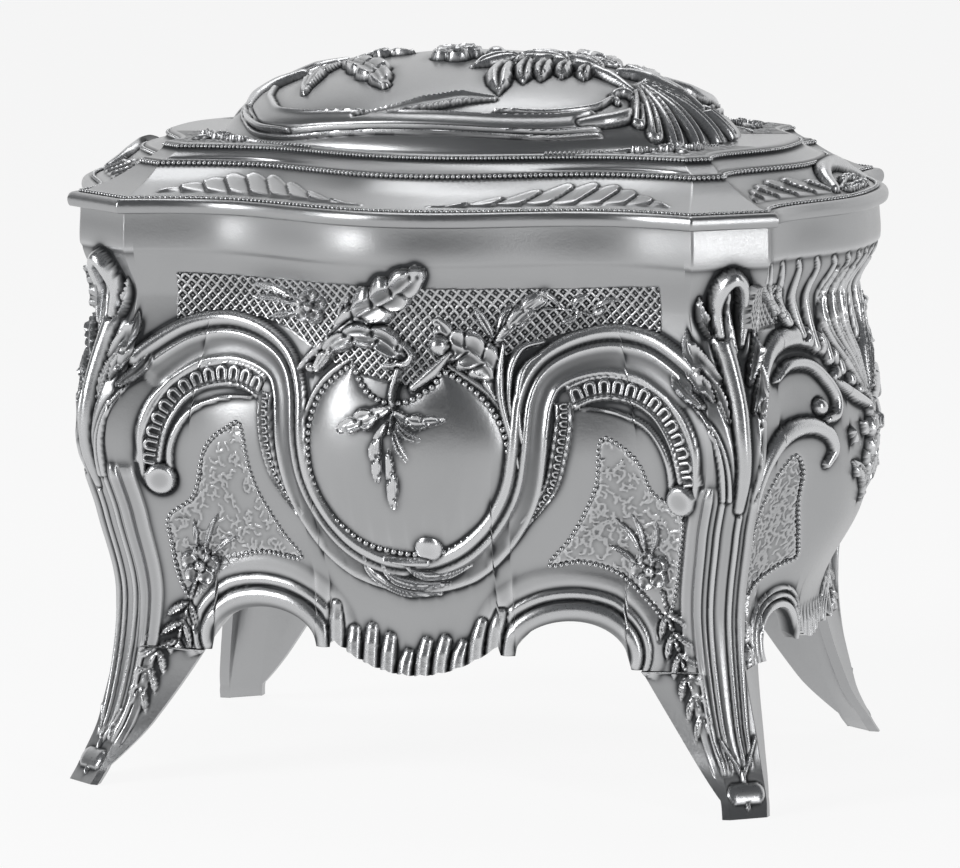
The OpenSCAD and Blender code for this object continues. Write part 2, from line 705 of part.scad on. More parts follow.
// Runs along the middle of the slope, from one share of the half side to another
function front_run(u0, u1) =
    [for (u = [u0, (u0 + u1) / 2, u1]) let (x = u * corner_a(slope_mid)[0]) [x, front_at(slope_mid, x)]];
function end_run(u0, u1) =
    [for (u = [u0, (u0 + u1) / 2, u1]) let (y = u * corner_b(slope_mid)[1]) [end_at(slope_mid, y), y]];

// Leaves of the slope in one quarter: the middle leaf and the long leaf of a front, the fan and the
// leaf beside it of an end
slope_lines = [
    [front_run(0, 0.1), 9, 0.8], [front_run(0.22, 0.84), 7.4, 1],
    [end_run(0, 0.26), 10, 1], [end_run(0.36, 0.84), 6.6, 1]
];
function slope_ring(s) =
    let (foot = rim_h + rim_round, rise = tier_h - foot - 1.2)
    let (z = rim_z + foot + rise * pow(s / slope_top, slope_power))
    [for (p = ring(between(slope_foot, tier_line, s)))
        [p[0], p[1], z + slope_leaf_h * raised([abs(p[0]), abs(p[1])], slope_lines)]];

// The dome's height at a share of its radius
dome_power = 0.7;
function dome_rise(r) = (dome_h - platform_h) * pow(1 - r * r, dome_power);

// Raised work of the dome, drawn in hundredths of its half length and half width: the ribbon round
// the front, the scroll leaf in it, the leafy spray and the rose left of the middle, the great leaf
// right of the middle with its two fellows, the shell at the left end, the fan at the right end, and
// the leaf at the back
dome_lines = drawn([
    [[[-84, -19], [-77, -44], [-69, -61], [-51, -76], [-28, -87], [-4, -90], [19, -87]], 6, 0.7],
    [[[19, -87], [42, -77], [60, -60], [67, -43]], 5.2, 0.7],
    [[[-8, -89], [4, -84], [14, -79], [21, -74]], 6, 0.9],
    [[[-58, 0], [-48, -17], [-38, -34], [-28, -44]], 4.8, 0.7],
    [[[-44, -24], [-53, -38], [-58, -52]], 7.6, 0.9],
    [[[-40, -29], [-32, -46], [-24, -62]], 8.8, 1],
    [[[-44, -22], [-36, -17], [-28, -10]], 7.2, 0.9],
    [[[-9, -22], [-8, -20]], 10.8, 0.9],
    [[[63, -29], [51, -24], [36, -29], [22, -44], [18, -67]], 10.8, 1.1],
    [[[55, -19], [40, -10], [22, -9]], 7.6, 1],
    [[[40, -24], [22, -32], [6, -41]], 7.2, 1],
    [[[-6, -22], [4, -16], [12, -10]], 8.4, 0.9],
    [[[-49, 35], [-57, 58], [-63, 66]], 6, 0.9],
    [[[-62, 20], [-76, 38], [-84, 43]], 6, 1],
    [[[-69, 1], [-86, 14], [-95, 16]], 6, 1],
    [[[-70, -18], [-87, -12], [-96, -13]], 6, 1],
    [[[63, -40], [84, -45], [88, -48]], 5.6, 0.9],
    [[[65, -17], [88, -14], [98, -13]], 5.6, 1],
    [[[65, -4], [88, 2], [98, 9]], 5.6, 1],
    [[[64, 8], [87, 19], [96, 30]], 5.6, 1],
    [[[64, 19], [85, 33], [89, 46]], 5.6, 0.9],
    [[[-64, 38], [-43, 57], [-20, 62]], 8.4, 0.9],
    [[[20, 62], [43, 57], [64, 38]], 8.4, 0.9]
], dome_a, dome_b);

// A point of the dome at a share of its radius and a turn, with its raised work pushed straight out
dome_fade = 0.05;
function dome_point(r, w) =
    let (x = dome_a * r * cos(w), y = dome_b * r * sin(w))
    let (steep = 2 * dome_power * (dome_h - platform_h) * r * pow(1 - r * r + 0.001, dome_power - 1))
    let (out = [steep * cos(w) / dome_a, steep * sin(w) / dome_b, 1])
    let (h = dome_leaf_h * raised([x, y], dome_lines) * min(1, (1 - r) / dome_fade))
    [x, y, rim_z + platform_h + dome_rise(r)] + out * h / norm(out);
function oval_turns() = [for (p = ring(platform_line)) atan2(p[1] / dome_b, p[0] / dome_a)];
function level(points, z) = [for (p = points) [p[0], p[1], rim_z + z]];
dome_n = 15;
dome_cuts = [for (i = [0 : dome_n - 1]) 1 - pow(i / dome_n, 1.5)];
inner_cuts = [0.2, 0.5, 0.8, 0.96];
inner_rise = 0.94;

module lid_shell() {
    turns = oval_turns();
    under = platform_h - lid_t;
    outer = [
        level(ring(rim_line), 0),
        level(ring(rim_line), rim_h),
        level(ring(inset(rim_line, rim_round)), rim_h + rim_round),
        level(ring(slope_foot), rim_h + rim_round),
        for (s = slope_cuts) slope_ring(s),
        level(ring(tier_line), tier_h - 0.4),
        level(ring(inset(tier_line, 0.8)), tier_h),
        level(ring(between(tier_line, platform_line, 0.5)), tier_h + 0.4),
        level(ring(between(tier_line, platform_line, 0.9)), platform_h - 1.2),
        level(ring(platform_line), platform_h),
        for (r = dome_cuts) [for (w = turns) dome_point(r, w)]
    ];
    inner = [
        for (r = inner_cuts)
            [for (w = turns) [
                (dome_a - lid_t) * r * cos(w), (dome_b - lid_t) * r * sin(w),
                rim_z + under + dome_rise(r) * inner_rise
            ]],
        level(ring(inset(platform_line, 2)), under - 0.4),
        level(ring(inset(tier_line, 2.6)), tier_h - lid_t - 1),
        level(ring(inset(rim_line, seat_w + 1)), rim_h + 0.1),
        level(ring(inset(rim_line, seat_w)), 0)
    ];
    all_rings = concat(outer, inner);
    count = len(all_rings);
    n = ring_n;
    top = len(outer) - 1;
    color("silver") difference() {
        polyhedron(
            [for (r = all_rings) each r],
            concat(
                [for (k = [0 : count - 1]) if (k != top) each band_faces(k * n, (k + 1) % count * n, n)],
                [[for (i = [n - 1 : -1 : 0]) top * n + i]],
                [[for (i = [0 : n - 1]) (top + 1) * n + i]]
            ),
            convexity = 8
        );
        lid_notch();
    }
}

// The notch in the lid's back edge that the hinge lies in
module lid_notch() {
    translate([-seat_half, seat_y, rim_z - 1]) cube([2 * seat_half, 10, rim_h + 5]);
    for (s = [-1, 1])
        translate([s * rivet_pitch / 2, seat_y - rivet_grip, rivet_z(1)])
            rotate([-90, 0, 0]) cylinder(r = hole_r, h = 6, $fn = 24);
}

module lid_lining() {
    o = inset(rim_line, seat_w + 1.4);
    color("maroon") translate([0, 0, rim_z + lid_card_lift]) linear_extrude(lid_card_t) polygon(ring(o));
}

// The leaves' edges stay this far from the pin's height
leaf_split = 0.3;

// One hinge leaf with its own knuckles: side -1 hangs on the body, side 1 carries the lid
knuckle_pitch = hinge_w / knuckles;
knuckle_l = knuckle_pitch - knuckle_gap;
module hinge_leaf(side) {
    first = side < 0 ? 0 : 1;
    plate_h = side < 0 ? leaf_w : lid_leaf_w;
    plate_z = side < 0 ? rim_z - leaf_split - leaf_w : rim_z + leaf_split;
    difference() {
        union() {
            translate([-hinge_w / 2, seat_y + leaf_clear, plate_z]) cube([hinge_w, leaf_t, plate_h]);
            for (k = [first : 2 : knuckles - 1])
                translate([-hinge_w / 2 + k * knuckle_pitch + knuckle_gap / 2, 0, rim_z]) {
                    translate([0, pin_y, 0]) rotate([0, 90, 0])
                        cylinder(r = knuckle_r, h = knuckle_l, $fn = 48);
                    translate([0, seat_y + leaf_clear, side < 0 ? -knuckle_r : leaf_split])
                        cube([knuckle_l, pin_y - seat_y - leaf_clear, knuckle_r - leaf_split]);
                }
        }
        translate([-hinge_w, pin_y, rim_z]) rotate([0, 90, 0])
            cylinder(r = pin_r + pin_gap, h = 2 * hinge_w, $fn = 48);
        for (s = [-1, 1])
            translate([s * rivet_pitch / 2, seat_y - 2, rivet_z(side)])
                rotate([-90, 0, 0]) cylinder(r = hole_r, h = 6, $fn = 24);
    }
}
function rivet_z(side) =
    side < 0 ? rim_z - leaf_split - leaf_w * 0.6 : rim_z + leaf_split + lid_leaf_w * 0.58;

module hinge_body_leaf() {
    color("lightgray") hinge_leaf(-1);
}

module hinge_lid_leaf() {
    color("lightgray") hinge_leaf(1);
}

pin_over = 0.4;
module hinge_pin() {
    color("gray") translate([-hinge_w / 2 - pin_over, pin_y, rim_z]) rotate([0, 90, 0])
        cylinder(r = pin_r, h = hinge_w + 2 * pin_over, $fn = 48);
}

// Two rivets with a low round head outside and a peened end inside
module rivets(side) {
    face = seat_y + leaf_clear + leaf_t;
    for (s = [-1, 1])
        translate([s * rivet_pitch / 2, face, rivet_z(side)]) rotate([-90, 0, 0]) {
            translate([0, 0, -rivet_grip - leaf_t - leaf_clear])
                cylinder(r = rivet_r, h = rivet_grip + leaf_t + leaf_clear + rivet_head_h / 2, $fn = 32);
            cylinder(r1 = rivet_head_r, r2 = rivet_head_r * 0.7, h = rivet_head_h, $fn = 32);
        }
}

module body_rivets() {
    color("gainsboro") rivets(-1);
}

module lid_rivets() {
    color("gainsboro") rivets(1);
}

front_wall();
back_wall();
left_wall();
right_wall();
front_left_leg();
front_right_leg();
rear_left_leg();
rear_right_leg();
base_plate();
floor_pad();
front_lining();
back_lining();
left_lining();
right_lining();
lid_shell();
lid_lining();
hinge_body_leaf();
hinge_lid_leaf();
hinge_pin();
body_rivets();
lid_rivets();
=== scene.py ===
# %% [markdown]
# # A cast pewter rosary box
#
# This script dresses a small footed casket in its finished look. The construction model gives every
# part its size and place. Here each casting is drawn again as a much finer surface, its scrolls,
# leaves, beads and lattice are raised on that surface, and a procedural pewter finish is laid on top.
# All drawing is done in millimetres and turned into metres when a mesh is made.

import math

import bpy
import numpy as np
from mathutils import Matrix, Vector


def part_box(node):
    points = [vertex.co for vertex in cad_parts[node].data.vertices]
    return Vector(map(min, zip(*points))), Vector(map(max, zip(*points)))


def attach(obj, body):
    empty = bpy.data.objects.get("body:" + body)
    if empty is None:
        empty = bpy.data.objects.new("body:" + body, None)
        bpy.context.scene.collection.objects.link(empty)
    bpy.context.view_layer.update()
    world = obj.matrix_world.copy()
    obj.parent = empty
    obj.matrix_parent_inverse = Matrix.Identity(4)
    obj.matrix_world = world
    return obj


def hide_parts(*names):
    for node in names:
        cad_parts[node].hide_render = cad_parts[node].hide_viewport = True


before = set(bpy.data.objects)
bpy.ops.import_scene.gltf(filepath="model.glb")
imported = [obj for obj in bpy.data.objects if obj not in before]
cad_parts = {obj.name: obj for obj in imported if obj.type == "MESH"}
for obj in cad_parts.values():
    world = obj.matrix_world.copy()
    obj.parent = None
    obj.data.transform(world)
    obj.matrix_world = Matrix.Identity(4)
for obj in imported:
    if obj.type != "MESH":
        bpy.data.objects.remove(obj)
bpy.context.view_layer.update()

# %% [markdown]
# ## Measurements
#
# The body is described by stations from the floor up. Each one holds a height, the middle of the
# canted corner along X and Y, the width of that canted face, and how far the front and the end
# reach at their middles. Between stations every value runs along a smooth curve.

# %% Stations and levels
STATIONS = np.array([
    [0.0, 63.94, 47.52, 7.4, 45.4, 64.0],
    [2.5, 63.1, 45.0, 7.6, 45.4, 64.0],
    [11.0, 60.3, 40.6, 8.0, 45.4, 64.0],
    [34.0, 56.3, 39.3, 8.0, 45.4, 64.0],
    [50.0, 58.3, 43.3, 8.8, 53.8, 72.0],
    [66.0, 61.2, 46.9, 9.2, 57.4, 74.4],
    [91.0, 57.6, 42.6, 13.8, 54.6, 69.8],
    [99.0, 59.3, 45.1, 15.0, 59.0, 74.4],
    [106.5, 59.3, 45.1, 15.0, 59.0, 74.4],
])
BODY_TOP = 106.5
RIM_Z = 106.7
SPRINGING_Z = 25.0
WALL = 2.0
POST_RETURN = 1.4
CANT = math.radians(39)
CANT_COS = math.cos(CANT)
CANT_SIN = math.sin(CANT)
FRONT_DIP = 0.42
END_DIP = 0.12
RIM = np.array([60.75, 47.45, 17.2, 61.4, 76.4, 0.42])
TIER = np.array([53.05, 36.67, 6.0, 49.08, 64.85, 0.27])
PLATFORM = np.array([50.05, 32.92, 5.0, 43.08, 59.75, 0.14])
MM = 0.001
print("stations:", len(STATIONS), "overall height:", RIM_Z + 27 - 0.3)

# %% [markdown]
# ## Outlines
#
# An outline is a row of six numbers: the corner's middle, its canted width, the two reaches, and how
# deep the wave beside the bow dips. The same formulas serve the body at any height and the lid.

# %% Outline formulas


def station_slopes():
    """Slope of every station value, measured between its neighbours."""
    last = len(STATIONS) - 1
    rows = []
    for i in range(last + 1):
        lo = STATIONS[max(i - 1, 0)]
        hi = STATIONS[min(i + 1, last)]
        rows.append((hi[1:] - lo[1:]) / (hi[0] - lo[0]))
    return np.array(rows)


SLOPES = station_slopes()


def body_at(z):
    """The body's outline at each height of an array."""
    z = np.asarray(z, float)
    i = np.clip(np.searchsorted(STATIONS[:, 0], z, side="right") - 1, 0, len(STATIONS) - 2)
    h = (STATIONS[i + 1, 0] - STATIONS[i, 0])[..., None]
    s = (z[..., None] - STATIONS[i, 0][..., None]) / h
    rising = STATIONS[i, 1:] * (1 + 2 * s) * (1 - s) ** 2 + h * SLOPES[i] * s * (1 - s) ** 2
    falling = STATIONS[i + 1, 1:] * s * s * (3 - 2 * s) + h * SLOPES[i + 1] * s * s * (s - 1)
    dip = np.full(z.shape + (1,), FRONT_DIP)
    return np.concatenate([rising + falling, dip], axis=-1)


def corner_a(o):
    """The front end of a canted corner, as X and Y reaches."""
    return o[..., 0] - o[..., 2] / 2 * CANT_COS, o[..., 1] + o[..., 2] / 2 * CANT_SIN


def corner_b(o):
    """The side end of a canted corner, as X and Y reaches."""
    return o[..., 0] + o[..., 2] / 2 * CANT_COS, o[..., 1] - o[..., 2] / 2 * CANT_SIN


def wave(u, bow, dip, where, power):
    """A bow in the middle, a dip beside it and level ends, for u from -1 to 1."""
    v = np.minimum(np.abs(u), 1.0)
    middle = (bow - dip) / 2 + (bow + dip) / 2 * np.cos(np.pi * (v / where) ** power)
    end = -dip * np.cos(np.pi / 2 * (v - where) / (1 - where))
    return np.where(v < where, middle, end)


def front_at(o, x):
    """Reach of the front of an outline at x."""
    ax, ay = corner_a(o)
    bow = o[..., 3] - ay
    return ay + wave(x / ax, bow, bow * o[..., 5], 0.72, 1.1)


def end_at(o, y):
    """Reach of the end of an outline at y."""
    bx, by = corner_b(o)
    bow = o[..., 4] - bx
    return bx + wave(y / by, bow, bow * END_DIP, 0.86, 1.35)


def inset(o, d):
    """An outline drawn in by d all round."""
    return np.array([o[0] - 0.685 * d, o[1] - 0.75 * d, o[2] - 0.8 * d, o[3] - d, o[4] - d, o[5]])


def wall_end_x(z):
    """Where the front wall meets the leg."""
    return corner_a(body_at(z))[0] - POST_RETURN


def wall_end_y(z):
    """Where the end wall meets the leg."""
    return corner_b(body_at(z))[1] - POST_RETURN


print("front reach at the belly:", round(float(front_at(body_at(66.0), 0.0)), 2))

# %% [markdown]
# ## Relief
#
# A relief holds many points on a plain surface and one height for each. Ornament is stamped on it
# as strokes: a path on the surface, a width and a height along the path, and a cross-section. Where
# strokes meet, the higher one wins, and a small moat may be cut round a stroke to set it off.

# %% Stroke tools


def curve(points, count=None, closed=False):
    """A smooth path through a few points, with evenly shared steps."""
    p = np.array(points, float)
    if len(p) == 2 and not closed:
        count = count or 8
        t = np.linspace(0, 1, count)[:, None]
        return p[0] * (1 - t) + p[1] * t
    if closed:
        ext = np.vstack([p[-1], p, p[0], p[1]])
    else:
        ext = np.vstack([2 * p[0] - p[1], p, 2 * p[-1] - p[-2]])
    pieces = []
    for i in range(1, len(ext) - 2):
        t = np.linspace(0, 1, 12, endpoint=False)[:, None]
        a, b, c, d = ext[i - 1], ext[i], ext[i + 1], ext[i + 2]
        pieces.append(0.5 * (2 * b + (c - a) * t + (2 * a - 5 * b + 4 * c - d) * t ** 2
                             + (3 * b - a - 3 * c + d) * t ** 3))
    line = np.vstack(pieces + [ext[-2][None]])
    if count:
        line = resample(line, count)
    return line


def resample(line, count):
    """The same path with a given number of evenly spaced points."""
    steps = np.linalg.norm(np.diff(line, axis=0), axis=1)
    along = np.concatenate([[0], np.cumsum(steps)])
    want = np.linspace(0, along[-1], count)
    return np.stack([np.interp(want, along, line[:, k]) for k in range(line.shape[1])], axis=1)


def path_length(line):
    """Length of a path."""
    return float(np.linalg.norm(np.diff(line, axis=0), axis=1).sum())


def nearest_on(line, p):
    """Distance of each point from a path, and how far along the path the nearest place is."""
    a = line[:-1]
    d = np.diff(line, axis=0)
    length2 = (d ** 2).sum(1) + 1e-12
    best = np.full(len(p), 1e9)
    where = np.zeros(len(p))
    side = np.zeros(len(p))
    steps = np.sqrt(length2)
    start = np.concatenate([[0], np.cumsum(steps)])
    for k in range(len(a)):
        rel = p - a[k]
        t = np.clip(rel @ d[k] / length2[k], 0, 1)
        gap = rel - t[:, None] * d[k]
        dist2 = (gap ** 2).sum(1)
        closer = dist2 < best
        best = np.where(closer, dist2, best)
        where = np.where(closer, start[k] + t * steps[k], where)
        if p.shape[1] == 2:
            turn = d[k, 0] * rel[:, 1] - d[k, 1] * rel[:, 0]
            side = np.where(closer, np.sign(turn), side)
    return np.sqrt(best), where / start[-1], side


PROFILES = {
    "round": lambda u: np.sqrt(np.clip(1 - u * u, 0, 1)),
    "cushion": lambda u: np.where(u < 0.72, 0.9, 0.9 * np.sqrt(np.clip(1 - ((u - 0.72) / 0.28) ** 2, 0, 1))),
    "soft": lambda u: 0.5 + 0.5 * np.cos(np.pi * np.clip(u, 0, 1)),
    "leaf": lambda u: np.sqrt(np.clip(1 - u * u, 0, 1)) * (1 - 0.55 * np.exp(-((u / 0.2) ** 2))),
    "hollow": lambda u: np.where(u < 0.8, 0.45 + 0.55 * (u / 0.8) ** 2,
                                 np.sqrt(np.clip((1 - u) / 0.2, 0, 1))),
}


def along(values, t):
    """A value that changes along a path, from a number or a few even knots."""
    v = np.atleast_1d(np.array(values, float))
    if len(v) == 1:
        return np.full(np.shape(t), v[0])
    return np.interp(t, np.linspace(0, 1, len(v)), v)


class Relief:
    """Heights of ornament over points given on a flat chart of a surface."""

    def __init__(self, chart):
        self.shape = chart.shape[:-1]
        self.p = chart.reshape(-1, 2)
        self.h = np.zeros(len(self.p))
        self.ground = np.zeros(len(self.p))

    def near(self, line, reach):
        """Indices of the points inside a box round a path."""
        lo = line.min(0) - reach
        hi = line.max(0) + reach
        return np.nonzero(np.all((self.p > lo) & (self.p < hi), axis=1))[0]

    def stroke(self, points, width, height, profile="round", moat=0.0, base=0.0, smooth=True):
        """Raises a stroke along a path."""
        line = curve(points) if smooth else np.array(points, float)
        widest = float(np.max(width))
        pick = self.near(line, widest / 2 + 1.0)
        if len(pick) == 0:
            return
        dist, t, _ = nearest_on(line, self.p[pick])
        half = np.maximum(along(width, t) / 2, 1e-3)
        u = dist / half
        inside = u < 1
        value = base + along(height, t) * PROFILES[profile](u)
        current = self.h[pick]
        if moat > 0:
            ring = np.clip(1 - (dist - half) / 0.55, 0, 1) * (~inside)
            current = current - moat * ring * np.clip(current + 0.4, 0, 1)
            current = np.where(inside, np.minimum(current, value), current)
        self.h[pick] = np.where(inside, np.maximum(current, value), current)

    def moulding(self, points, section, scale=1.0, level=1.0, hand=1, ends=1.5):
        """Lays a moulding along a path, from its section as offsets and heights across the path."""
        line = curve(points)
        cut = curve(section)
        cut = cut[np.argsort(cut[:, 0])]
        pick = self.near(line, float(np.max(np.abs(cut[:, 0])) * np.max(scale)) + 0.5)
        if len(pick) == 0:
            return
        dist, t, side = nearest_on(line, self.p[pick])
        offset = hand * dist * side / along(scale, t)
        value = np.interp(offset, cut[:, 0], cut[:, 1], left=0, right=0) * along(level, t)
        fade = np.clip(np.minimum(t, 1 - t) * path_length(line) / ends, 0, 1)
        inside = (offset > cut[0, 0]) & (offset < cut[-1, 0]) & (t > 0) & (t < 1)
        self.h[pick] = np.where(inside, np.maximum(self.h[pick], value * fade ** 0.5), self.h[pick])

    def disc(self, centre, radius, height, profile="round", moat=0.0):
        """Raises a round boss."""
        c = np.array(centre, float)
        pick = self.near(c[None], radius + 1.0)
        dist = np.linalg.norm(self.p[pick] - c, axis=1)
        u = dist / radius
        value = height * PROFILES[profile](u)
        current = self.h[pick]
        if moat > 0:
            ring = np.clip(1 - (dist - radius) / 0.55, 0, 1) * (u >= 1)
            current = current - moat * ring
        self.h[pick] = np.where(u < 1, np.maximum(current, value), current)

    def inside(self, polygon, smooth=True):
        """Points inside a closed outline, and their distance from it."""
        poly = curve(polygon, closed=True) if smooth else np.array(polygon, float)
        pick = self.near(poly, 0.5)
        p = self.p[pick]
        x, y = p[:, 0], p[:, 1]
        odd = np.zeros(len(p), bool)
        a = poly
        b = np.roll(poly, -1, axis=0)
        for k in range(len(a)):
            crosses = (a[k, 1] > y) != (b[k, 1] > y)
            if not crosses.any():
                continue
            at = (b[k, 0] - a[k, 0]) * (y - a[k, 1]) / (b[k, 1] - a[k, 1] + 1e-12) + a[k, 0]
            odd ^= crosses & (x < at)
        pick = pick[odd]
        dist = nearest_on(np.vstack([poly, poly[:1]]), self.p[pick])[0]
        return pick, dist

    def field(self, polygon, depth, edge=0.5, stipple=0.0, smooth=True):
        """Sinks or lifts everything inside a closed outline."""
        pick, dist = self.inside(polygon, smooth)
        k = np.clip(dist / edge, 0, 1)
        self.h[pick] += depth * k
        self.ground[pick] = np.maximum(self.ground[pick], stipple * k)

    def dome(self, polygon, height, run):
        """Swells everything inside a closed outline like a cushion."""
        pick, dist = self.inside(polygon)
        k = np.clip(dist / run, 0, 1)
        self.h[pick] = np.maximum(self.h[pick], height * np.sqrt(1 - (1 - k) ** 2))


print("profiles:", ", ".join(PROFILES))

# %% [markdown]
# ## Meshes
#
# A casting is a shell: a fine grid outside, a coarse grid inside, and bands of triangles that close
# the rims between them. Each point also carries how hollow or proud it lies, for the patina with painted
# shade in its hollows and the rubbed metal with painted highlights on its ridges.

# %% Shell tools


def bridge(a, b):
    """Triangles between two rows of points that run the same way."""
    faces = []
    i = j = 0
    while i < len(a) - 1 or j < len(b) - 1:
        step_a = i < len(a) - 1 and (j >= len(b) - 1 or (i + 1) / (len(a) - 1) <= (j + 1) / (len(b) - 1))
        if step_a:
            faces.append((a[i], a[i + 1], b[j]))
            i += 1
        else:
            faces.append((a[i], b[j + 1], b[j]))
            j += 1
    return faces


def grid_quads(index, closed=False, flip=False):
    """Four-sided faces of a grid of point numbers."""
    if closed:
        index = np.concatenate([index, index[:, :1]], axis=1)
    a, b = index[:-1, :-1], index[:-1, 1:]
    c, d = index[1:, 1:], index[1:, :-1]
    order = (a, d, c, b) if flip else (a, b, c, d)
    return np.stack(order, axis=-1).reshape(-1, 4).tolist()


def shell_faces(outer, inner, closed=False):
    """All faces of a shell, from the point numbers of its two grids."""
    faces = grid_quads(outer, closed) + grid_quads(inner, closed, flip=True)
    wrap = (lambda row: np.append(row, row[0])) if closed else (lambda row: row)
    faces += bridge(list(wrap(inner[0])), list(wrap(outer[0])))
    faces += bridge(list(wrap(outer[-1])), list(wrap(inner[-1])))
    if not closed:
        faces += bridge(list(outer[:, 0]), list(inner[:, 0]))
        faces += bridge(list(inner[:, -1]), list(outer[:, -1]))
    return faces


def grid_normals(p, closed=False):
    """Unit normals of a grid of points, from its own steps."""
    if closed:
        du = np.roll(p, -1, axis=1) - np.roll(p, 1, axis=1)
    else:
        du = np.gradient(p, axis=1)
    dv = np.gradient(p, axis=0)
    n = np.cross(du, dv)
    return n / (np.linalg.norm(n, axis=-1, keepdims=True) + 1e-12)


def blurred(h, reach, closed=False):
    """A grid of heights smoothed over a few cells each way."""
    out = h.copy()
    for _ in range(2):
        for axis in (0, 1):
            pad = [(reach, reach) if k == axis else (0, 0) for k in (0, 1)]
            mode = "wrap" if closed and axis == 1 else "edge"
            total = np.cumsum(np.pad(out, pad, mode=mode), axis=axis)
            zero = np.zeros_like(np.take(total, [0], axis=axis))
            total = np.concatenate([zero, total], axis=axis)
            n = out.shape[axis]
            hi = np.take(total, range(2 * reach + 1, 2 * reach + 1 + n), axis=axis)
            lo = np.take(total, range(0, n), axis=axis)
            out = (hi - lo) / (2 * reach + 1)
    return out


def patina_shade_and_rub_highlight(h, cell, closed=False):
    """How hollow and how proud each point lies against its surroundings: the hollow share paints patina with
    painted shade in recesses, the proud share rubbed metal with painted highlights on ridges.
    """
    near = blurred(h, max(int(round(0.5 / cell)), 1), closed)
    far = blurred(h, max(int(round(1.6 / cell)), 2), closed)
    low = 0.75 * np.clip((near - h) / 0.22, 0, 1) + 0.35 * np.clip((far - h) / 0.6, 0, 1)
    top = 0.7 * np.clip((h - near) / 0.16, 0, 1) + 0.4 * np.clip((h - far) / 0.5, 0, 1)
    return np.clip(low, 0, 1), np.clip(top, 0, 1)


def add_mesh(name, points, faces, values=None, smooth=True):
    """A mesh object from points in millimetres, faces and values at the points."""
    mesh = bpy.data.meshes.new(name)
    mesh.from_pydata((np.asarray(points, float) * MM).tolist(), [], [list(f) for f in faces])
    mesh.update()
    for key, value in (values or {}).items():
        layer = mesh.attributes.new(key, "FLOAT", "POINT")
        layer.data.foreach_set("value", np.asarray(value, np.float32).ravel())
    if smooth:
        mesh.polygons.foreach_set("use_smooth", np.ones(len(mesh.polygons), bool))
    piece = bpy.data.objects.new(name, mesh)
    bpy.context.scene.collection.objects.link(piece)
    return piece


def sharpen(piece, degrees=62):
    """Keeps the crease where a rim turns sharply."""
    piece.data.set_sharp_from_angle(angle=math.radians(degrees))
    return piece


def add_shell(name, outer, inner, values, closed=False):
    """A casting from its outer and inner grids of points."""
    n_out = outer.shape[0] * outer.shape[1]
    n_in = inner.shape[0] * inner.shape[1]
    outer_index = np.arange(n_out).reshape(outer.shape[:2])
    inner_index = n_out + np.arange(n_in).reshape(inner.shape[:2])
    points = np.vstack([outer.reshape(-1, 3), inner.reshape(-1, 3)])
    spread = {k: np.concatenate([v.ravel(), np.zeros(n_in)]) for k, v in values.items()}
    return sharpen(add_mesh(name, points, shell_faces(outer_index, inner_index, closed), spread))


TURN = np.array([-1.0, -1.0, 1.0])
print("shell tools ready")

# %% [markdown]
# ## The front's ornament
#
# All paths are on the front's chart, X across and Z up, in millimetres. The round shield in the
# middle is framed by ridges. A large toothed scroll curls on each side of it, a lattice fills the
# band under the neck, and stippled panels with beaded borders lie between the scrolls and the arches.

# %% Paths of the front
AXIS_X = 1.3


def over(points):
    """The same path on the other side of the front's own axis."""
    return [(2 * AXIS_X - x, z) for x, z in points]


HEART_LEFT = [(-8.3, 80.7), (-10.2, 79.5), (-12.6, 77.6), (-14.6, 75.2), (-15.9, 72.5), (-16.7, 69.5),
              (-17.0, 66.0), (-16.8, 62.0), (-15.9, 58.6), (-14.6, 55.6), (-12.2, 52.4), (-8.2, 49.2)]
HEART_FOOT = [(-4.6, 47.6), (1.5, 46.6), (8.0, 47.2)]
HEART_RIGHT = [(14.3, 51.4), (18.2, 56.6), (20.1, 63.0), (19.3, 69.5), (15.5, 75.5), (8.9, 80.1)]
HEART_TOP = [(7.2, 77.8), (5.2, 76.4), (2.8, 74.9), (0.1, 74.4), (-2.5, 74.7), (-5.2, 76.2), (-6.8, 78.2)]
HEART = HEART_LEFT + HEART_FOOT + HEART_RIGHT + HEART_TOP
HEART_CENTRE = np.array([1.6, 63.5])
SCROLL_SPINE = [(-52.6, 77.4), (-49.8, 80.4), (-43.1, 84.5), (-35.9, 85.9), (-29.6, 85.0), (-24.4, 82.6),
                (-21.4, 79.4), (-19.9, 75.0), (-19.5, 70.0), (-19.2, 65.6), (-18.2, 60.0), (-16.2, 55.2),
                (-13.0, 50.6), (-8.8, 46.8), (-3.6, 44.2), (1.3, 43.4)]
SCROLL_SECTION = [(-7.0, 0.0), (-6.7, 0.5), (-6.2, 1.0), (-5.7, 0.9), (-5.1, 0.5), (-3.9, 0.3),
                  (-2.7, 0.5), (-1.9, 0.95), (-1.3, 1.3), (-0.7, 1.0), (-0.25, 0.55), (0.2, 1.0),
                  (1.1, 1.55), (2.0, 1.45), (2.6, 0.9), (2.95, 0.0)]
SCROLL_HOOK = [(-49.0, 54.9), (-51.0, 57.4), (-51.6, 62.0), (-51.3, 67.4), (-49.4, 72.0), (-46.0, 75.8)]
CELL_FRAME = [(-2.5, 0.0), (-2.2, 0.6), (-1.85, 0.9), (-1.5, 0.55), (-1.3, 0.15), (0.0, 0.1), (1.3, 0.15),
              (1.5, 0.55), (1.85, 0.9), (2.2, 0.6), (2.5, 0.0)]
SCROLL_LIP = [(-46.6, 58.6), (-46.2, 63.4), (-44.4, 67.6), (-41.6, 70.6), (-38.0, 72.2), (-33.6, 73.2),
              (-29.8, 73.4)]
SCROLL_CELLS = [(-50.4, 60.0), (-49.6, 64.1), (-48.6, 67.6), (-46.8, 71.0), (-44.4, 73.9), (-41.2, 76.0),
                (-37.9, 77.0), (-34.5, 77.4), (-31.0, 76.9), (-27.6, 75.4)]
BAND_CELLS = [(-26.6, 74.6), (-26.8, 70.8), (-26.2, 65.7), (-24.8, 60.0), (-22.4, 56.0), (-19.2, 52.0)]
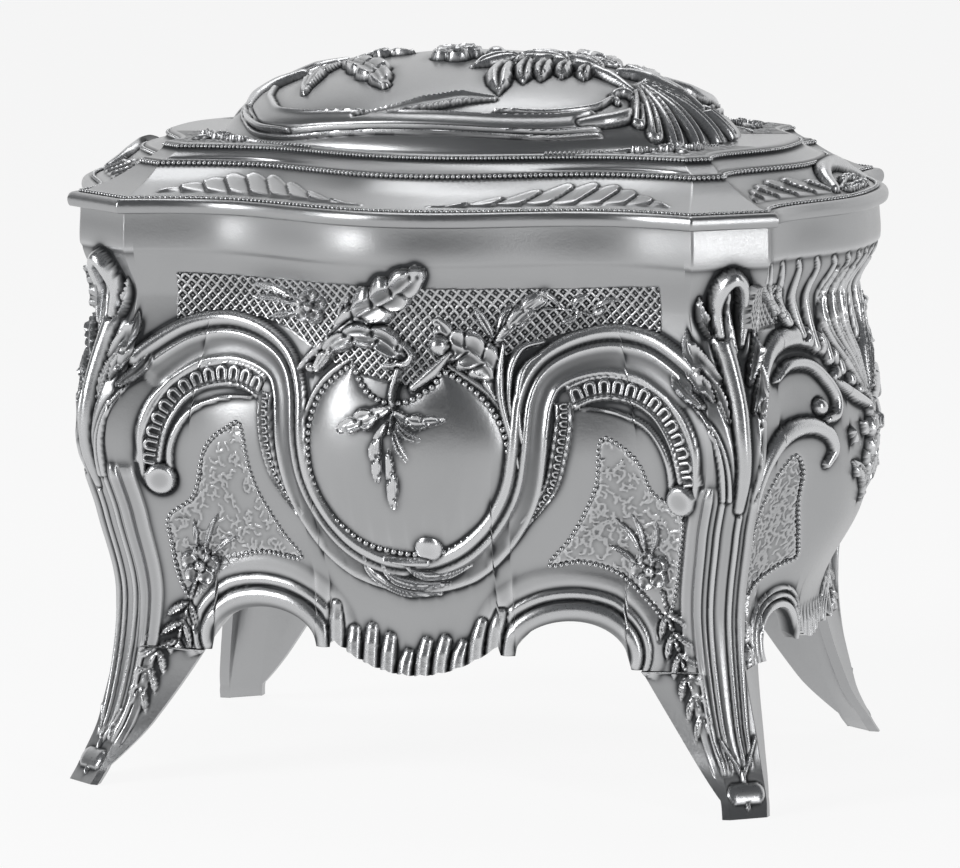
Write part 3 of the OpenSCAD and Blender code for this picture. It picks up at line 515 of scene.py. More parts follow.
LATTICE_BED = [(-45.0, 95.5), (-30.0, 95.2), (-10.0, 95.4), (10.0, 95.2), (30.0, 94.9), (46.4, 95.8),
               (46.6, 87.0), (42.0, 88.0), (33.0, 88.0), (24.0, 85.6), (14.0, 80.0), (3.0, 77.0),
               (-10.0, 80.0), (-22.0, 86.2), (-30.0, 88.0), (-38.0, 88.0), (-45.2, 86.6)]
PANEL_LEFT = [(-32.3, 68.2), (-35.4, 67.2), (-38.0, 65.4), (-39.9, 62.8), (-41.0, 59.2), (-41.8, 56.0),
              (-43.4, 53.1), (-47.6, 49.8), (-47.4, 44.9), (-46.6, 39.0), (-44.6, 34.6), (-41.4, 35.4),
              (-38.1, 39.6), (-33.9, 42.7), (-29.0, 44.0), (-21.2, 43.6), (-24.8, 48.5), (-28.8, 54.8),
              (-30.6, 60.0)]
PANEL_RIGHT = [(36.0, 67.8), (39.5, 66.8), (42.9, 63.5), (45.3, 58.2), (50.6, 54.6), (49.8, 46.0),
               (48.4, 38.4), (46.6, 34.6), (43.6, 37.4), (38.0, 42.6), (31.2, 44.6), (25.6, 44.1),
               (29.4, 49.0), (32.6, 54.4), (35.0, 60.0)]
print("paths of the front are ready, shield centre", HEART_CENTRE.tolist())


# %% [markdown]
# ## Small motifs
#
# Leaves, flowers and rows of cells come back in many places, so each gets its own function.

# %% Motifs


def leaf(r, points, width, height, groove=True, moat=0.5):
    """A pointed leaf with a groove along its middle."""
    r.stroke(points, [0.2, 0.75 * width, width, 0.8 * width, 0.15],
             [0.4 * height, height, height, 0.8 * height,
             0.3 * height], "leaf" if groove else "round", moat)


def acanthus(r, spine, width, height, lobes, lean=0.5, depth=0.35, moat=0.5):
    """A broad leaf with forward-leaning lobes, side veins and a groove down its spine."""
    line = curve(spine)
    pick = r.near(line, float(np.max(width)) / 2 + 1.0)
    if len(pick) == 0:
        return
    dist, t, side = nearest_on(line, r.p[pick])
    length = path_length(line)
    root = np.clip(t - lean * dist / length, 0, 1)
    phase = root * lobes + 0.25 * (side > 0)
    tooth = np.abs(np.sin(np.pi * phase)) ** 0.6
    half = np.maximum(along(width, t) / 2 * (1 - depth + depth * tooth), 1e-3)
    u = dist / half
    inside = u < 1
    rise = along(height, t)
    cup = np.where(u < 0.7, 0.62 + 0.38 * (u / 0.7) ** 2, np.clip((1 - u) / 0.3, 0, 1) ** 0.5)
    value = (rise * cup * (1 - 0.42 * np.exp(-((tooth / 0.4) ** 2)))
             + 0.22 * rise * np.exp(-((dist / 0.35) ** 2)) * (u < 0.9))
    current = r.h[pick]
    ring = np.clip(1 - (dist - half) / 0.5, 0, 1) * (~inside)
    current = current - moat * ring * np.clip(current + 0.4, 0, 1)
    current = np.where(inside, np.minimum(current, value), current)
    r.h[pick] = np.where(inside, np.maximum(current, value), current)


def flower(r, centre, radius, height, turn=0.0):
    """A rose of five round petals with a bead in the middle."""
    c = np.array(centre, float)
    for k in range(5):
        w = turn + 2 * math.pi * k / 5
        tip = c + 0.62 * radius * np.array([math.cos(w), math.sin(w)])
        r.disc(tip, 0.5 * radius, height, "hollow", 0.3)
    r.disc(c, 0.3 * radius, 1.25 * height, "round", 0.5)
    r.disc(c, 0.1 * radius, 0.9 * height, "round", 0.0)


def sprig(r, stem, pairs, length, width, height, spread=0.9, start=0.1):
    """A stem with pairs of slender leaves."""
    line = curve(stem)
    r.stroke(stem, 0.7, 0.8 * height, "round", 0.3)
    spots = resample(line, 2 * pairs + 3)
    for k in range(pairs):
        base = spots[int((start + (0.9 - start) * k / max(pairs - 1, 1)) * (len(spots) - 2)) + 1]
        ahead = spots[-1] - base
        ahead = ahead / (np.linalg.norm(ahead) + 1e-9)
        across = np.array([-ahead[1], ahead[0]])
        for s in (-1, 1):
            tip = base + length * (ahead * math.cos(spread) + s * across * math.sin(spread))
            belly = base + 0.5 * length * (ahead * math.cos(0.7 * spread)
                                           + s * across * math.sin(1.25 * spread))
            leaf(r, [base, belly, tip], width, height)


def grown(points, centre, by):
    """A closed path pushed away from a centre."""
    p = np.array(points, float) - centre
    size = np.linalg.norm(p, axis=1, keepdims=True)
    return (p * (1 + by / size) + centre).tolist()


print("motifs ready")

# %% [markdown]
# ## Raising the front
#
# The order of the strokes matters: grounds are sunk first, then long ridges, then leaves and flowers
# that lie over them.

# %% Front ornament


FLUTE_PITCH = 3.3


def front_edge(x):
    """Lower edge of the front: the fluted apron, two arches and the tops of the legs."""
    v = np.abs(x)
    apron = 23.1 + 6.2 * (v / 16) ** 2 - 0.5 * np.abs(np.cos(np.pi * x / FLUTE_PITCH)) ** 0.7
    arch = 27 + 6.7 * np.sqrt(np.clip(1 - ((v - 29.5) / 10.5) ** 2, 0, 1))
    edge = np.where(v < 16, apron, np.where(np.abs(v - 29.5) < 10.5, arch, 27.0))
    return np.where(v > 40, SPRINGING_Z, edge)


ARCH_LINE = [(29.5 + 10.5 * math.cos(w), 27 + 6.7 * math.sin(w)) for w in np.linspace(-0.3, math.pi + 0.12,
                                                                                      24)]
ARCH_SECTION = [(-0.6, 1.2), (0.3, 1.25), (1.4, 1.75), (2.6, 1.7), (3.5, 1.1), (3.85, 0.45), (4.2, 0.8),
                (5.0, 1.2), (5.8, 1.0), (6.2, 0.5), (6.6, 0.6), (7.4, 0.75), (8.6, 0.5), (9.6, 0.15),
                (10.2, 0.0)]


def front_leaves(r):
    """The acanthus above the shield, the spray beside it and the flowers."""
    for tip in ((-11.5, 86.1, -10.6, 90.4, -9.2, 94.0), (-8.0, 88.8, -5.8, 92.5, -2.8, 95.5)):
        leaf(r, [tip[0:2], tip[2:4], tip[4:6]], 1.9, 1.6)
    acanthus(r, [(-14.7, 83.4), (-10.2, 87.2), (-4.9, 91.4), (0.6, 95.2), (4.6, 98.3)],
             [1.5, 5.0, 8.4, 7.6, 4.2], [1.2, 1.9, 2.3, 2.2, 1.6], 5)
    r.stroke([(-18.9, 79.6), (-16.6, 82.2), (-12.4, 85.4), (-8.6, 88.4)], [1.2, 1.7, 1.5], 1.6, "round", 0.4)
    for x, z in ((-12.8, 84.0), (-15.0, 81.7), (-16.9, 79.7)):
        r.disc((x, z), 1.0, 1.7, "round", 0.4)
    acanthus(r, [(-15.6, 79.6), (-12.4, 83.8), (-7.5, 86.2), (-2.6, 85.6), (1.2, 83.0)],
             [1.8, 3.2, 4.6, 5.6, 4.6], [1.2, 2.0, 2.3, 2.4, 2.0], 4, -0.4)
    r.stroke([(-1.8, 80.9), (1.6, 81.2), (3.0, 82.8), (1.8, 84.6)], [1.2, 1.8, 1.6, 1.0], 2.5, "round", 0.4)
    acanthus(r, [(18.4, 76.0), (16.6, 80.4), (13.2, 83.6), (9.6, 85.6), (7.2, 89.2)],
             [3.0, 6.0, 8.2, 7.0, 2.2], [1.2, 1.6, 1.8, 1.8, 1.0], 5)
    r.disc((7.6, 84.9), 1.9, 2.2, "round", 0.5)
    r.stroke([(9.6, 83.4), (6.9, 80.4), (3.4, 77.2)], [1.2, 2.6, 1.6], 1.8, "round", 0.4)
    for tip in ([(17.3, 85.2), (15.3, 89.0), (13.2, 92.6)], [(17.3, 86.2), (18.5, 89.9), (20.2, 92.6)],
                [(17.9, 86.9), (20.6, 88.4), (23.0, 89.8)]):
        leaf(r, tip, 1.9, 1.4)
    acanthus(r, [(17.4, 85.4), (20.2, 89.2), (22.8, 92.0), (25.6, 94.0)], [1.0, 2.8, 3.8, 2.4],
             [1.0, 1.5, 1.6, 1.0], 3)
    for line in ([(25.2, 85.4), (21.6, 84.2), (19.8, 79.9), (20.2, 73.0), (22.4, 65.0)],
                 [(24.8, 83.2), (22.6, 81.3), (21.5, 77.9), (21.8, 71.0), (23.4, 64.0)],
                 [(18.5, 85.0), (18.2, 80.0), (18.8, 74.5), (21.0, 67.0), (22.4, 60.0)]):
        r.stroke(line, [0.9, 1.7, 1.4, 1.2, 0.5], [1.5, 1.9, 1.5, 1.1, 0.6], "round", 0.35)
    r.stroke([(0.6, 80.2), (-0.4, 76.0), (0.0, 73.0), (-0.4, 69.0)], [1.4, 1.1, 0.9, 0.7], 2.2, "round", 0.5)
    acanthus(r, [(-0.2, 73.6), (-3.6, 72.0), (-9.6, 69.4)], [1.0, 4.6, 2.8], [2.0, 2.2, 1.7], 3)
    acanthus(r, [(0.2, 72.8), (3.8, 71.2), (9.0, 71.6)], [1.0, 3.2, 1.6], [2.0, 2.2, 1.7], 3)
    leaf(r, [(0.3, 71.6), (2.6, 68.9), (6.8, 67.6)], 2.0, 2.1)
    acanthus(r, [(-1.0, 71.0), (-2.9, 66.8), (-2.7, 60.8)], [0.8, 2.8, 1.8], [2.0, 2.2, 1.8], 3)
    leaf(r, [(0.0, 70.6), (1.3, 66.6), (4.0, 62.8)], 2.1, 2.1)
    acanthus(r, [(-0.6, 66.0), (-0.1, 61.0), (-0.1, 56.2)], [0.8, 2.6, 2.0], [2.0, 2.3, 1.9], 2)
    flower(r, (-17.8, 90.8), 3.2, 1.5, 0.3)
    for line in ([(-20.6, 90.6), (-26.0, 91.6), (-31.0, 91.2)], [(-20.4, 92.0), (-25.4, 93.6), (-30.7, 94.0)],
                 [(-20.6, 89.4), (-24.4, 88.6), (-27.2, 88.0)]):
        leaf(r, line, 1.5, 1.1)
    r.stroke([(25.0, 91.4), (29.0, 91.2), (33.6, 90.2)], 0.6, 0.9, "round", 0.3)
    r.disc((34.6, 91.0), 1.2, 1.2, "round", 0.4)
    for line in ([(28.0, 91.3), (26.6, 93.4), (24.6, 94.6)], [(30.0, 91.2), (30.8, 93.0), (33.0, 93.8)],
                 [(31.0, 91.0), (30.2, 89.4), (27.6, 88.6)], [(33.0, 91.0), (36.0, 92.8), (38.6, 93.0)]):
        leaf(r, line, 1.3, 1.0)
    r.disc((5.3, 47.9), 2.7, 2.0, "round", 0.6)
    r.stroke([(-3.2, 46.0), (0.4, 45.4), (4.6, 45.4)], [0.6, 1.4, 1.8], 1.9, "round", 0.4)
    for line in ([(-7.2, 47.8), (-6.6, 43.0), (-1.0, 39.0), (6.0, 38.6)], [(-4.2, 45.4), (-3.0, 42.2),
                                                                           (1.6, 40.4), (8.0, 40.8)],
                 [(0.0, 44.6), (2.6, 42.8), (7.6, 42.8), (12.4, 44.6)]):
        r.stroke(line, [0.5, 2.0, 1.8, 0.6], [0.8, 1.8, 1.5, 0.7], "leaf", 0.35)
    flower(r, (-42.2, 40.7), 3.5, 1.4, 0.2)
    flower(r, (44.0, 43.6), 3.4, 1.4, 0.6)
    for line in ([(42.8, 46.0), (40.8, 50.0), (37.8, 53.2)], [(43.4, 46.4), (42.4, 51.0), (41.0, 54.0)],
                 [(44.4, 46.6), (45.4, 50.0), (45.6, 53.0)], [(41.6, 44.8), (38.6, 47.0), (36.2, 48.0)]):
        leaf(r, line, 1.2, 0.9)
    for line in ([(-41.4, 43.4), (-40.0, 47.6), (-38.4, 50.6)], [(-42.6, 43.8), (-42.8, 47.0), (-43.0, 49.4)],
                 [(-40.2, 42.6), (-37.0, 45.4), (-34.6, 46.4)]):
        leaf(r, line, 1.2, 0.9)


def front_sprigs(r):
    """The leafy sprigs that run down on to the legs."""
    sprig(r, [(-43.4, 37.4), (-45.4, 31.0), (-48.4, 22.0), (-52.8, 12.6)], 6, 5.4, 1.5, 1.2, 0.62)
    sprig(r, [(46.0, 39.8), (47.8, 33.0), (51.0, 24.0), (55.4, 14.4)], 6, 5.4, 1.5, 1.2, 0.62)


def front_ornament(r):
    """Everything raised on the front's chart."""
    r.field(LATTICE_BED, -0.6, 0.25, 0.0, smooth=False)
    r.field(PANEL_LEFT, -0.35, 0.3, 1.0)
    r.field(PANEL_RIGHT, -0.35, 0.3, 1.0)
    for hand, flip in ((1, lambda p: p), (-1, over)):
        r.moulding(flip(SCROLL_SPINE), SCROLL_SECTION,
                   [1.0, 1.0, 1.0, 0.9, 0.76, 0.72, 0.72, 0.74, 0.8, 0.7],
                   [0.9, 1, 1, 1, 1, 1, 1, 1, 1, 0.7], hand)
        r.stroke(flip(SCROLL_HOOK), [1.2, 1.6, 1.4], 1.0, "round")
        r.moulding(flip(SCROLL_CELLS), CELL_FRAME, 1.0, 1.0, hand, 0.4)
        r.moulding(flip(BAND_CELLS), CELL_FRAME, [0.62, 0.62, 0.5, 0.3], 0.9, hand, 0.4)
        r.stroke(flip(SCROLL_LIP), [1.4, 1.3, 1.0, 0.6], 0.8, "round")
        r.disc(flip([(-48.4, 57.4)])[0], 2.9, 1.6, "cushion", 0.4)
        side = -1 if flip is over else 1
        arch = [(-side * x, z) for x, z in ARCH_LINE]
        r.moulding(arch, ARCH_SECTION, [0.55, 0.8, 1.0, 1.0, 1.0, 0.95, 0.8], [0.8, 1, 1, 1, 1, 1, 0.9],
                   side, 1.0)
    r.stroke(grown(HEART_LEFT + HEART_FOOT + HEART_RIGHT, HEART_CENTRE, 1.3), 0.9, 0.7, "round")
    r.dome(HEART, 1.3, 9.0)
    front_sprigs(r)
    for k in range(-5, 5):
        x = FLUTE_PITCH * (k + 0.5)
        low = 23.1 + 6.2 * (x / 16) ** 2
        tall = 4.6 + 1.5 * math.sin(2.1 * k + 0.6) + 1.3 * abs(x) / 16
        r.stroke([(x, low - 1.0), (1.02 * x + 0.2, low + 0.45 * tall), (1.06 * x + 0.7, low + tall)],
                 [3.2, 3.1, 2.9, 2.3], [1.7, 1.6, 1.4, 0.8], "round", 0.5)


REEDS = [(-3.6, 0.0), (-3.2, 0.5), (-2.2, 0.6), (-1.3, 0.6), (-0.95, 0.35), (-0.6, 0.9), (-0.1, 1.15),
         (0.4, 0.9), (0.7, 0.4), (1.2, 0.55), (1.6, 0.55), (1.9, 0.35), (2.2, 0.9), (2.6, 1.1),
         (3.0, 0.9), (3.3, 0.4), (4.2, 0.62), (5.4, 0.62), (5.9, 0.38), (6.2, 0.9), (6.6, 1.1),
         (7.0, 0.9), (7.3, 0.4), (7.8, 0.5), (8.2, 0.4), (8.5, 0.9), (9.0, 1.1), (9.5, 0.9), (9.9, 0.0)]


def corner_ornament(r):
    """Reeds of the leg and the plume on the canted corner: across the corner and up."""
    r.moulding([(-0.2, 60.0), (-0.2, 50.0), (-0.3, 40.0), (-0.5, 26.0), (-0.6, 15.0), (0.4, 7.0)], REEDS,
               [1.0, 0.98, 0.94, 0.86, 0.76, 0.62], 0.9, 1, 2.0)
    for points in ([(0.6, 13.0), (2.2, 9.6), (3.8, 6.6)], [(7.4, 13.0), (5.6, 9.6), (3.9, 6.6)], [(3.8, 7.4),
                                                                                                  (3.8,
                                                                                                   1.6)]):
        r.stroke(points, [0.8, 1.0, 0.8], [0.6, 0.8, 0.6], "round", 0.15)
    r.stroke([(1.8, 3.9), (5.8, 3.9)], 3.4, 0.7, "round", 0.2, smooth=False)
    r.stroke([(4.4, 58.0), (3.4, 66.0), (2.4, 74.0), (2.4, 81.0), (4.0, 88.0)], [2.0, 4.6, 6.4, 6.0, 3.4],
             [0.5, 0.9, 1.1, 1.1, 0.8], "soft")
    r.stroke([(8.6, 60.0), (9.6, 70.0), (10.8, 78.0), (10.6, 87.0)], [1.6, 3.2, 5.4, 3.4],
             [0.4, 0.9, 1.1, 0.8], "soft")
    for points in ([(-2.8, 75.5), (-0.2, 71.0), (1.1, 65.4), (2.3, 58.1)], [(-1.4, 74.0), (1.0, 69.4),
                                                                            (2.6, 63.3), (3.6, 58.0)],
                   [(8.4, 57.7), (9.3, 63.9), (10.1, 68.4), (10.4, 72.9)]):
        r.stroke(points, [0.7, 1.1, 1.3], [0.7, 1.1, 1.2], "round", 0.2)
    for points, width, height in (
            ([(2.0, 94.1), (2.3, 90.9), (3.6, 87.8), (5.2, 84.4)], 2.5, 2.2),
            ([(-0.7, 88.0), (-0.6, 84.9), (0.9, 82.0), (3.4, 79.0)], 2.7, 2.1),
            ([(0.3, 81.0), (2.4, 77.6), (3.6, 72.0)], 1.7, 1.7),
            ([(-4.8, 81.2), (-4.0, 78.2), (-0.8, 75.0)], 2.9, 1.9),
            ([(-3.1, 81.8), (-0.6, 79.8), (1.3, 76.0)], 1.9, 1.8),
            ([(11.4, 95.6), (11.5, 92.0), (9.9, 87.4)], 2.0, 2.2),
            ([(12.1, 87.6), (11.6, 84.0), (9.2, 78.6)], 2.3, 2.1),
            ([(14.7, 83.6), (13.2, 80.0), (10.2, 73.6)], 2.0, 1.8),
            ([(12.3, 81.8), (10.9, 77.7), (9.0, 73.6)], 1.8, 1.8),
            ([(15.6, 81.6), (13.5, 77.6), (10.8, 72.6)], 1.9, 1.7)):
        r.stroke(points, [0.5, 0.9 * width, width, 0.5 * width],
                 [0.5 * height, height, height, 0.7 * height], "hollow", 0.4)
    r.stroke([(6.0, 56.0), (5.8, 62.0), (5.7, 68.2), (6.0, 75.0), (5.8, 81.4), (5.4, 85.8), (5.7, 89.5)],
             [2.2, 3.0, 3.3, 3.6, 4.0, 4.6, 4.2], [1.1, 1.8, 2.2, 2.5, 2.7, 2.8, 2.6], "round", 0.35)
    r.stroke([(7.3, 84.0), (7.0, 88.0), (6.8, 92.0), (7.0, 95.6)], [1.0, 1.9, 2.1, 1.4],
             [2.2, 2.5, 2.4, 2.2], "round")
    r.stroke([(4.9, 87.0), (4.8, 90.6), (5.0, 94.0), (6.0, 97.0), (7.9, 98.2), (9.7, 96.8), (10.3, 93.4),
              (9.9, 89.6), (8.8, 85.4)], [2.0, 2.3, 2.6, 2.8, 2.8, 2.7, 2.5, 2.2, 1.4],
             [2.6, 2.9, 3.1, 3.2, 3.2, 3.1, 3.0, 2.8, 2.2],
             "round", 0.5)


END_PANEL = [(-26.0, 63.4), (-28.8, 61.4), (-30.4, 58.4), (-31.6, 54.4), (-32.2, 48.0), (-32.4, 40.0),
             (-30.6, 36.6), (-26.8, 39.8), (-21.0, 42.4), (-17.4, 43.4), (-19.6, 47.6), (-22.4, 54.4),
             (-23.4, 60.0)]


def other_side(points):
    """The same path on the other half of the end."""
    return [(-y, z) for y, z in points]


def end_half(r, flip):
    """One half of an end's ornament."""
    r.field(flip(END_PANEL), -0.35, 0.3, 1.0)
    band = [(-42.0, 50.0), (-39.4, 56.0), (-35.6, 62.6), (-29.6, 67.4), (-23.4, 68.6), (-18.6, 66.8),
            (-16.6, 63.6), (-18.2, 61.0)]
    r.stroke(flip(band), [1.6, 2.4, 3.2, 3.6, 3.6, 3.2, 2.6, 1.6], [1.0, 1.4, 1.6, 1.7, 1.7, 1.6, 1.5, 1.2],
             "round", 0.5)
    hood = [(-37.6, 76.4), (-33.0, 81.4), (-27.6, 84.2), (-21.4, 84.8), (-15.4, 82.4), (-11.4, 78.6),
            (-13.6, 76.4)]
    r.stroke(flip(hood), [1.8, 3.0, 3.8, 4.2, 4.2, 3.6, 2.4], [1.0, 1.6, 1.9, 2.0, 2.0, 1.8, 1.4], "round",
             0.5)
    r.stroke(flip([(-30.6, 77.6), (-25.6, 79.8), (-20.4, 79.4), (-16.8, 76.4), (-14.8, 72.8),
                   (-15.8, 69.8), (-18.6, 69.2)]), [1.2, 2.0, 2.2, 2.2, 2.4, 2.2, 1.6], 1.6, "round", 0.5)
    r.disc(flip([(-19.6, 71.6)])[0], 1.6, 1.6, "round", 0.5)
    for k in range(9):
        top = -38.0 + 4.4 * k
        tip = -30.4 + 3.2 * k
        low = 92.6 - 2.6 * k + (0.0 if k < 6 else 0.3 * (k - 5))
        r.stroke(flip([(top, 99.0), (top + 1.5, 95.6), (tip, low)]), [0.8, 1.6, 2.2], [0.3, 1.0, 1.6],
                 "round", 0.35)
    for k in range(3):
        r.stroke(flip([(-13.0 + 3.6 * k, 96.0), (-13.6 + 3.8 * k, 86.0), (-9.0 + 3.0 * k, 79.0),
                       (-1.8 + 0.9 * k, 72.0)]),
                 [1.4, 2.6, 2.4, 1.2], [0.8, 2.0, 2.2, 1.4], "leaf", 0.4)
    r.stroke(flip([(-13.4, 75.2), (-8.0, 72.4), (-2.0, 70.2)]), [1.4, 2.2, 1.6], 1.8, "round", 0.4)
    for y, z in ((-4.9, 66.2), (-10.5, 65.4), (-3.0, 60.4), (-7.6, 58.8)):
        r.stroke(flip([(y - 0.4, z + 0.8), (y + 0.4, z - 0.9)]), [1.0, 1.5], 1.5, "round", 0.3)
    arch = [(-(18.5 + 7 * math.cos(w)), 27 + 6.7 * math.sin(w)) for w in np.linspace(-0.3, math.pi, 20)]
    for by, width, height in ((0.9, 1.8, 1.3), (2.6, 1.0, 1.0), (3.9, 0.8, 0.7)):
        r.stroke(flip(grown(arch, np.array([-18.5, 25.0]), by)), width, height, "round")
    r.field(flip([(-44.0, 96.0), (-26.0, 94.4), (-26.0, 87.4), (-39.8, 87.4), (-44.4, 90.0)]), -0.3, 0.3, 1.0)
    sprig(r, flip([(-31.0, 38.0), (-32.4, 31.0), (-34.6, 22.0), (-37.6, 12.0)]), 5, 5.0, 1.4, 1.1, 0.62)


def end_ornament(r):
    """Everything raised on an end's chart: Y across and Z up."""
    end_half(r, lambda p: p)
    end_half(r, other_side)
    acanthus(r, [(0.0, 52.0), (0.0, 58.0), (0.0, 64.0), (0.0, 72.0)], [1.0, 5.0, 5.6, 1.6],
             [1.0, 1.8, 2.0, 1.4], 5)
    leaf(r, [(-1.0, 54.0), (-4.6, 58.0), (-9.4, 60.4)], 2.2, 1.5)
    leaf(r, [(1.0, 54.0), (4.6, 58.0), (9.4, 60.4)], 2.2, 1.5)
    for k in range(-4, 5):
        y = 2.1 * k
        r.stroke([(y, 25.6 + 0.06 * k * k), (1.05 * y, 29.4), (1.1 * y, 32.4)], [1.4, 1.2, 0.5],
                 [0.9, 0.7, 0.2], "round")


print("front ornament ready")

# %% [markdown]
# ## Walls
#
# Each wall is a grid between its lower edge and the top of the body. The relief is pushed out along
# the surface's own normals. The back repeats the front's casting and the left end the right one's.

# %% Wall castings


def push(points, normals, heights):
    """Points moved out along their normals."""
    return points + normals * heights[..., None]


def wall_charts(n, m, edge_at, end_of):
    """Chart positions of a wall's grid: across and up, with the rows closer near the lower edge."""
    u = np.linspace(-1, 1, n + 1)[None, :]
    t = np.linspace(0, 1, m + 1)[:, None]
    low = edge_at(u * end_of(SPRINGING_Z))
    z = low + (BODY_TOP - low) * t
    return u * end_of(z), z


def fade_rim(z):
    """Lets the relief die away at the top edge."""
    return np.clip((BODY_TOP - 1.0 - z) / 1.0, 0, 1)


def front_surface(x, z):
    """Points of the plain front wall."""
    return np.stack([x, -front_at(body_at(z), x), z], axis=-1)


def end_surface(y, z):
    """Points of the plain right end."""
    return np.stack([end_at(body_at(z), y), y, z], axis=-1)


def corner_charts(x, z):
    """The front's chart points seen from its right and left corners."""
    a = corner_a(body_at(z))[0]
    return np.stack([x - a, z], axis=-1), np.stack([-x - a, z], axis=-1)


def end_corner_charts(y, z):
    """The end's chart points seen from its front and back corners."""
    o = body_at(z)
    b = corner_b(o)[1]
    return np.stack([o[..., 2] + b + y, z], axis=-1), np.stack([o[..., 2] + b - y, z], axis=-1)


NECK_STEP_Z = 99.1
NECK_STEP_OUT = 0.4


def neck_step(z):
    """The slightly thicker band under the body's top edge."""
    k = np.clip((z - NECK_STEP_Z) / 1.0, 0, 1)
    return NECK_STEP_OUT * k * k * (3 - 2 * k)


def blend_heights(base, extra):
    """The ornament of a neighbouring corner laid over a wall's own."""
    return np.where(extra > 0.02, np.maximum(base, extra), base)


def front_heights(x, z):
    """Heights of the front at chart points, with and without its leaves, and its stipple."""
    r = Relief(np.stack([x, z], axis=-1))
    front_ornament(r)
    h = r.h.reshape(x.shape)
    leaves = Relief(np.stack([x, z], axis=-1))
    front_leaves(leaves)
    leafy = np.maximum(h, leaves.h.reshape(x.shape))
    for chart in corner_charts(x, z):
        c = Relief(chart)
        corner_ornament(c)
        h = blend_heights(h, c.h.reshape(x.shape))
        leafy = blend_heights(leafy, c.h.reshape(x.shape))
    return h, leafy, r.ground.reshape(x.shape)


def end_heights(y, z):
    """Heights and stipple of an end at chart points."""
    r = Relief(np.stack([y, z], axis=-1))
    end_ornament(r)
    h = r.h.reshape(y.shape)
    for chart in end_corner_charts(y, z):
        c = Relief(chart)
        corner_ornament(c)
        h = blend_heights(h, c.h.reshape(y.shape))
    return h, r.ground.reshape(y.shape)


FINE = 1.0


def front_casting():
    """Outer points, inner points and values of the front wall."""
    n, m = int(390 * FINE), int(240 * FINE)
    x, z = wall_charts(n, m, front_edge, wall_end_x)
    base = front_surface(x, z)
    h, leafy, ground = front_heights(x, z)
    h = h * fade_rim(z) + neck_step(z)
    # painted shade and patina: the hollow mask is taken with the leaves included, though they stand on
    # separate plates, so the wall darkens round their feet
    low, top = patina_shade_and_rub_highlight(leafy, 80 / m)
    outer = push(base, grid_normals(base), h)
    xi, zi = wall_charts(48, 30, front_edge, wall_end_x)
    inner = front_surface(xi, zi) + np.array([0, WALL, 0])
    return outer, inner, {"hollow": low, "proud": top, "stipple": ground}


def end_casting():
    """Outer points, inner points and values of the right end wall."""
    n, m = int(280 * FINE), int(240 * FINE)
    y, z = wall_charts(n, m, end_edge, wall_end_y)
    base = end_surface(y, z)
    h, ground = end_heights(y, z)
    h = h * fade_rim(z) + neck_step(z)
    low, top = patina_shade_and_rub_highlight(h, 80 / m)
    outer = push(base, grid_normals(base), h)
    yi, zi = wall_charts(36, 30, end_edge, wall_end_y)
    inner = end_surface(yi, zi) - np.array([WALL, 0, 0])
    return outer, inner, {"hollow": low, "proud": top, "stipple": ground}


def end_edge(y):
    """Lower edge of an end."""
    v = np.abs(y)
    apron = 25.9 + 3.2 * (v / 9) ** 2
    arch = 27 + 6.7 * np.sqrt(np.clip(1 - ((v - 18.5) / 7) ** 2, 0, 1))
    edge = np.where(v < 9, apron, np.where(np.abs(v - 18.5) < 7, arch, 27.0))
    return np.where(v > 25.5, SPRINGING_Z, edge)


front_outer, front_inner, front_values = front_casting()
front_wall = add_shell("front_wall_casting", front_outer, front_inner, front_values)
back_outer = front_outer * TURN
SEAT_Y = 57.39
on_seat = (np.abs(back_outer[..., 0]) < 13.3) & (back_outer[..., 2] > 98.1)
back_outer[..., 1] = np.where(on_seat, np.minimum(back_outer[..., 1], SEAT_Y), back_outer[..., 1])
back_wall = add_shell("back_wall_casting", back_outer, front_inner * TURN, front_values)
end_outer, end_inner, end_values = end_casting()
right_wall = add_shell("right_wall_casting", end_outer, end_inner, end_values)
left_wall = add_shell("left_wall_casting", end_outer * TURN, end_inner * TURN, end_values)
print("wall faces:", len(front_wall.data.polygons), len(right_wall.data.polygons))

# %% [markdown]
# ## Legs
#
# A leg runs from the toe to the lid. Below the arches it spreads on to the front and the end, and
# above them it keeps to the canted corner. Its grid goes round the corner from front to end.

# %% Leg castings


def strip_width(z, widest):
    """How far a leg spreads on to the wall beside it."""
    share = np.clip((z - 3) / (SPRINGING_Z - 3), 0, 1) ** 0.9
    return POST_RETURN + (widest - POST_RETURN) * share


def leg_rows(fine):
    """Heights of a leg's rows, with the shelf under the walls given twice."""
    lower = np.linspace(0, SPRINGING_Z, int(84 * fine))
    upper = np.linspace(SPRINGING_Z, BODY_TOP, int(246 * fine))
    z = np.concatenate([lower, upper])
    wide = np.concatenate([np.ones(len(lower)), np.zeros(len(upper))])
    return z, wide


